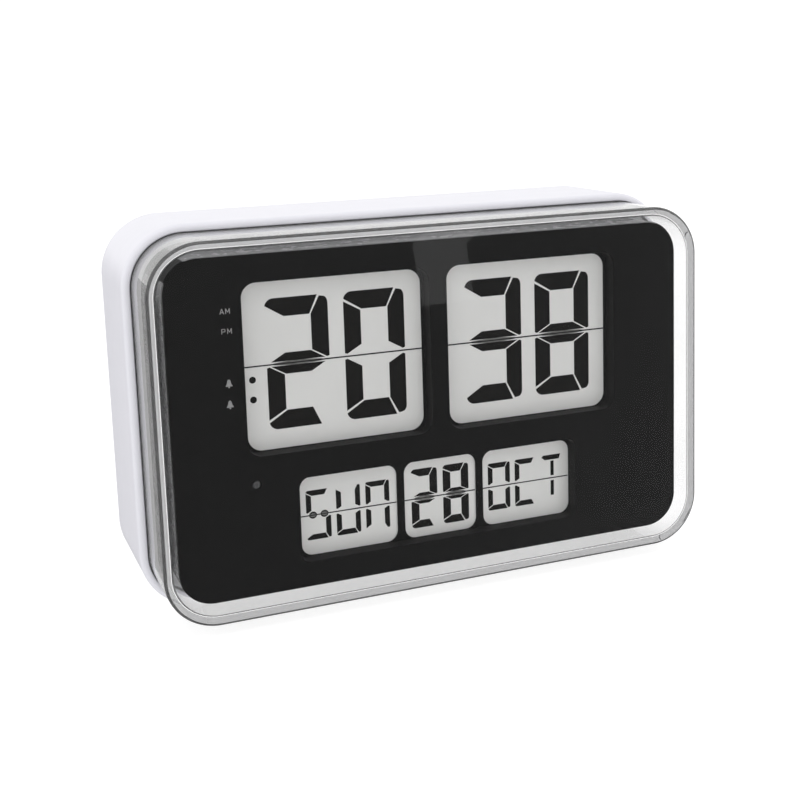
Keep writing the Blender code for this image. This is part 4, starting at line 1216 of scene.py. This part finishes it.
def make_springs():
    """Conical coil springs at the negative ends."""
    turns = 4
    per_turn = 28
    for index in range(3):
        node = "cell_spring_%d" % (index + 1)
        low, high = span(node)
        centre = ((low.y + high.y) / 2, (low.z + high.z) / 2)
        way = -1 if index == 1 else 1
        start = (low.x if way > 0 else high.x) + way * 0.4
        length = high.x - low.x - 0.9
        curve = bpy.data.curves.new(node + "_coil", "CURVE")
        curve.dimensions = "3D"
        curve.bevel_depth = 0.36 * MM
        curve.bevel_resolution = 4
        curve.use_fill_caps = True
        spline = curve.splines.new("POLY")
        spline.points.add(turns * per_turn)
        for step, point in enumerate(spline.points):
            share = step / (turns * per_turn)
            angle = 2 * math.pi * step / per_turn
            radius = 5.2 - 2.2 * share
            place = Vector((start + way * share * length, centre[0] + radius * math.cos(angle),
                            centre[1] + radius * math.sin(angle))) * MM
            point.co = (*place, 1)
        curve.materials.append(LOOKS["plated_steel"])
        coil = linked(curve.name, curve)
        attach(coil, STATIC)
        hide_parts(node)


def make_polarity_marks():
    """Raised plus and minus signs on the bay's floor, at the ends of each cell."""
    for index in range(3):
        low, high = span("aa_cell_%d" % (index + 1))
        z = (low.z + high.z) / 2
        way = -1 if index == 1 else 1
        plus = [stroke((-1.5, 0), (1.5, 0), 0.6), stroke((0, -1.5), (0, 1.5), 0.6)]
        minus = [stroke((-1.5, 0), (1.5, 0), 0.6)]
        bm = bmesh.new()
        for outlines, x in ((plus, way * 18.0), (minus, -way * 18.0)):
            for outline in outlines:
                placed = [(x + u, z + v) for u, v in outline]
                add_loft(bm, [(placed, BAY_FLOOR_Y + 0.01), (placed, BAY_FLOOR_Y + 0.35)])
        fit(made_object("polarity_marks_%d" % (index + 1), bm, LOOKS["white_plastic"]), STATIC,
            "white_plastic")


# ---------------------------------------------------------------- small parts
def make_feet():
    """Rubber pads with rounded rims."""
    for node, centre in FEET.items():
        low, high = span(node)
        stations = []
        for step in range(5):
            angle = math.radians(90 * step / 4)
            inset = 0.35 * (1 - math.sin(angle))
            stations.append((foot_outline(centre, -inset), low.z + 0.35 * (1 - math.cos(angle))))
        stations.append((foot_outline(centre, 0), high.z))
        pad = loft(node + "_pad", stations, LOOKS["foot_rubber"], "Z")
        fit(pad, STATIC, "foot_rubber", node)


def make_case_screws():
    """Pan-head screws at the bottom of the bores, with a tapered cross recess."""
    steel = LOOKS["plated_steel"]
    for index, centre in enumerate(case_screw_places()):
        node = "case_screw_%d" % (index + 1)
        low, high = span(node)
        seat = BOSS_SEAT_Y + GAP
        head = high.y - seat
        profile = [(1.6, high.y)]
        profile += [(1.6 + 1.3 * math.sin(math.radians(a)), seat + head * (0.35 + 0.65 * math.cos(
            math.radians(a)))) for a in (15, 30, 45, 60, 75, 90)]
        profile += [(2.9, seat + 0.1), (2.8, seat), (1.2, seat), (1.2, low.y + 1.2), (0.4, low.y)]
        screw = turned(node + "_head", profile, centre, steel)
        cross = []
        for half_u, half_v in ((1.5, 0.32), (0.32, 1.5)):
            wide = rectangle((centre[0] - half_u, centre[1] - half_v),
                             (centre[0] + half_u, centre[1] + half_v))
            narrow = rectangle((centre[0] - half_u * 0.5, centre[1] - half_v * 0.7),
                               (centre[0] + half_u * 0.5, centre[1] + half_v * 0.7))
            cross.append(loft("arm", [(narrow, high.y - 1.4), (wide, high.y + 0.3)], steel))
        combine(screw, (), cross)
        fit(screw, STATIC, "plated_steel", node)


def dress_frame_nodes():
    """Gives every frame node that stays in view the finish of its own slot."""
    slots = {}
    for row in frame["record"]["materials"]:
        for node in row.get("nodes", ()):
            slots[node] = row["slot"]
    for name, node in frame["nodes"].items():
        slot = slots.get(name) or node.data.materials[0].name.split(".")[0]
        for index in range(len(node.data.materials)):
            node.material_slots[index].material = LOOKS[slot]


# ---------------------------------------------------------------- camera, light and floor
CAMERA_PLACE = Vector((-167.8, FRONT_Y - 410.8, CENTRE_Z + 113.4))
CAMERA_YAW = 22.89
CAMERA_PITCH = -9.30
CAMERA_ROLL = -1.62
LENS = 59.73
SHIFT = (-0.075, -0.138)
WORLD_GLOW = 1.12
FLOOR_GLOW = 0.85
CARD_GLOW = 0.22
STAGE_REACH = 40000.0

# Place, aim, width and length in metres, and power in watts
SOFTBOX = ((-0.3, -0.2, 1.6), (0, 0, 0.05), (1.6, 1.2), 2.5)
STRIP = ((0.31, -0.75, 0.02), (0.02, -0.04, 0.08), (0.06, 0.5), 0.06)


def make_camera():
    yaw, pitch, roll = (math.radians(a) for a in (CAMERA_YAW, CAMERA_PITCH, CAMERA_ROLL))
    ahead = Vector((math.sin(yaw) * math.cos(pitch), math.cos(yaw) * math.cos(pitch), math.sin(pitch)))
    level = Vector((math.cos(yaw), -math.sin(yaw), 0))
    up = level.cross(ahead)
    right = level * math.cos(roll) + up * math.sin(roll)
    top = up * math.cos(roll) - level * math.sin(roll)
    data = bpy.data.cameras.new("camera")
    data.lens = LENS
    data.sensor_width = 36.0
    data.shift_x, data.shift_y = SHIFT
    data.clip_start = 0.01
    data.clip_end = 50.0
    camera = linked("camera", data)
    turn = Matrix((right, top, -ahead)).transposed().to_4x4()
    camera.matrix_world = Matrix.Translation(CAMERA_PLACE * MM) @ turn
    bpy.context.scene.camera = camera


def make_card():
    """Plain dark card on the floor, one even tone, seen only in gloss."""
    corners = rectangle((-STAGE_REACH, -STAGE_REACH), (STAGE_REACH, STAGE_REACH))
    mesh = bpy.data.meshes.new("dark_card")
    mesh.from_pydata([Vector((x, y, 0.0)) * MM for x, y in corners], [], [(0, 1, 2, 3)])
    card = linked("dark_card", mesh)
    mesh.materials.append(look("dark_card", (0.02, 0.02, 0.02), 0.9, 0.002,
                               emission_color=(1.0, 1.0, 1.0), emission_strength=CARD_GLOW))
    card.visible_camera = False
    card.visible_diffuse = False
    card.visible_transmission = False
    card.visible_shadow = False


def make_stage():
    rim = circle((0, 0), STAGE_REACH, 96)
    panel = look("light_table", (0.3, 0.3, 0.3), 0.9, 0.004, emission_color=(1.0, 1.0, 1.0),
                 emission_strength=FLOOR_GLOW)
    floor = prism("floor", rim, -20.0, 0.0, panel, "Z")
    floor.visible_glossy = False
    make_card()


def area_light(name, place, aim, size, power):
    data = bpy.data.lights.new(name, "AREA")
    data.shape = "RECTANGLE"
    data.size, data.size_y = size
    data.energy = power
    light = linked(name, data)
    light.location = place
    direction = Vector(aim) - Vector(place)
    light.rotation_mode = "QUATERNION"
    light.rotation_quaternion = direction.to_track_quat("-Z", "Y")
    return light


def make_light():
    world = bpy.data.worlds.new("studio")
    bpy.context.scene.world = world
    world.use_nodes = True
    background = world.node_tree.nodes["Background"]
    background.inputs["Color"].default_value = (1.0, 1.0, 1.0, 1.0)
    background.inputs["Strength"].default_value = WORLD_GLOW
    area_light("overhead_softbox", *SOFTBOX)
    strip = area_light("strip_softbox", *STRIP)
    strip.visible_camera = False
    bpy.context.scene.view_settings.view_transform = "Standard"
    paths = bpy.context.scene.cycles
    paths.max_bounces = 24
    paths.glossy_bounces = 16
    paths.transmission_bounces = 24


# ---------------------------------------------------------------- assembly
make_camera()
make_light()
make_stage()
dress_frame_nodes()
make_cover()
make_seal()
make_casing()
make_mask()
make_bezel()
make_time_film()
make_time_display()
make_calendar_display()
make_mask_prints()
make_buttons()
make_slides()
make_panel_marks()
make_door()
make_cells()
make_springs()
make_polarity_marks()
make_feet()
make_case_screws()
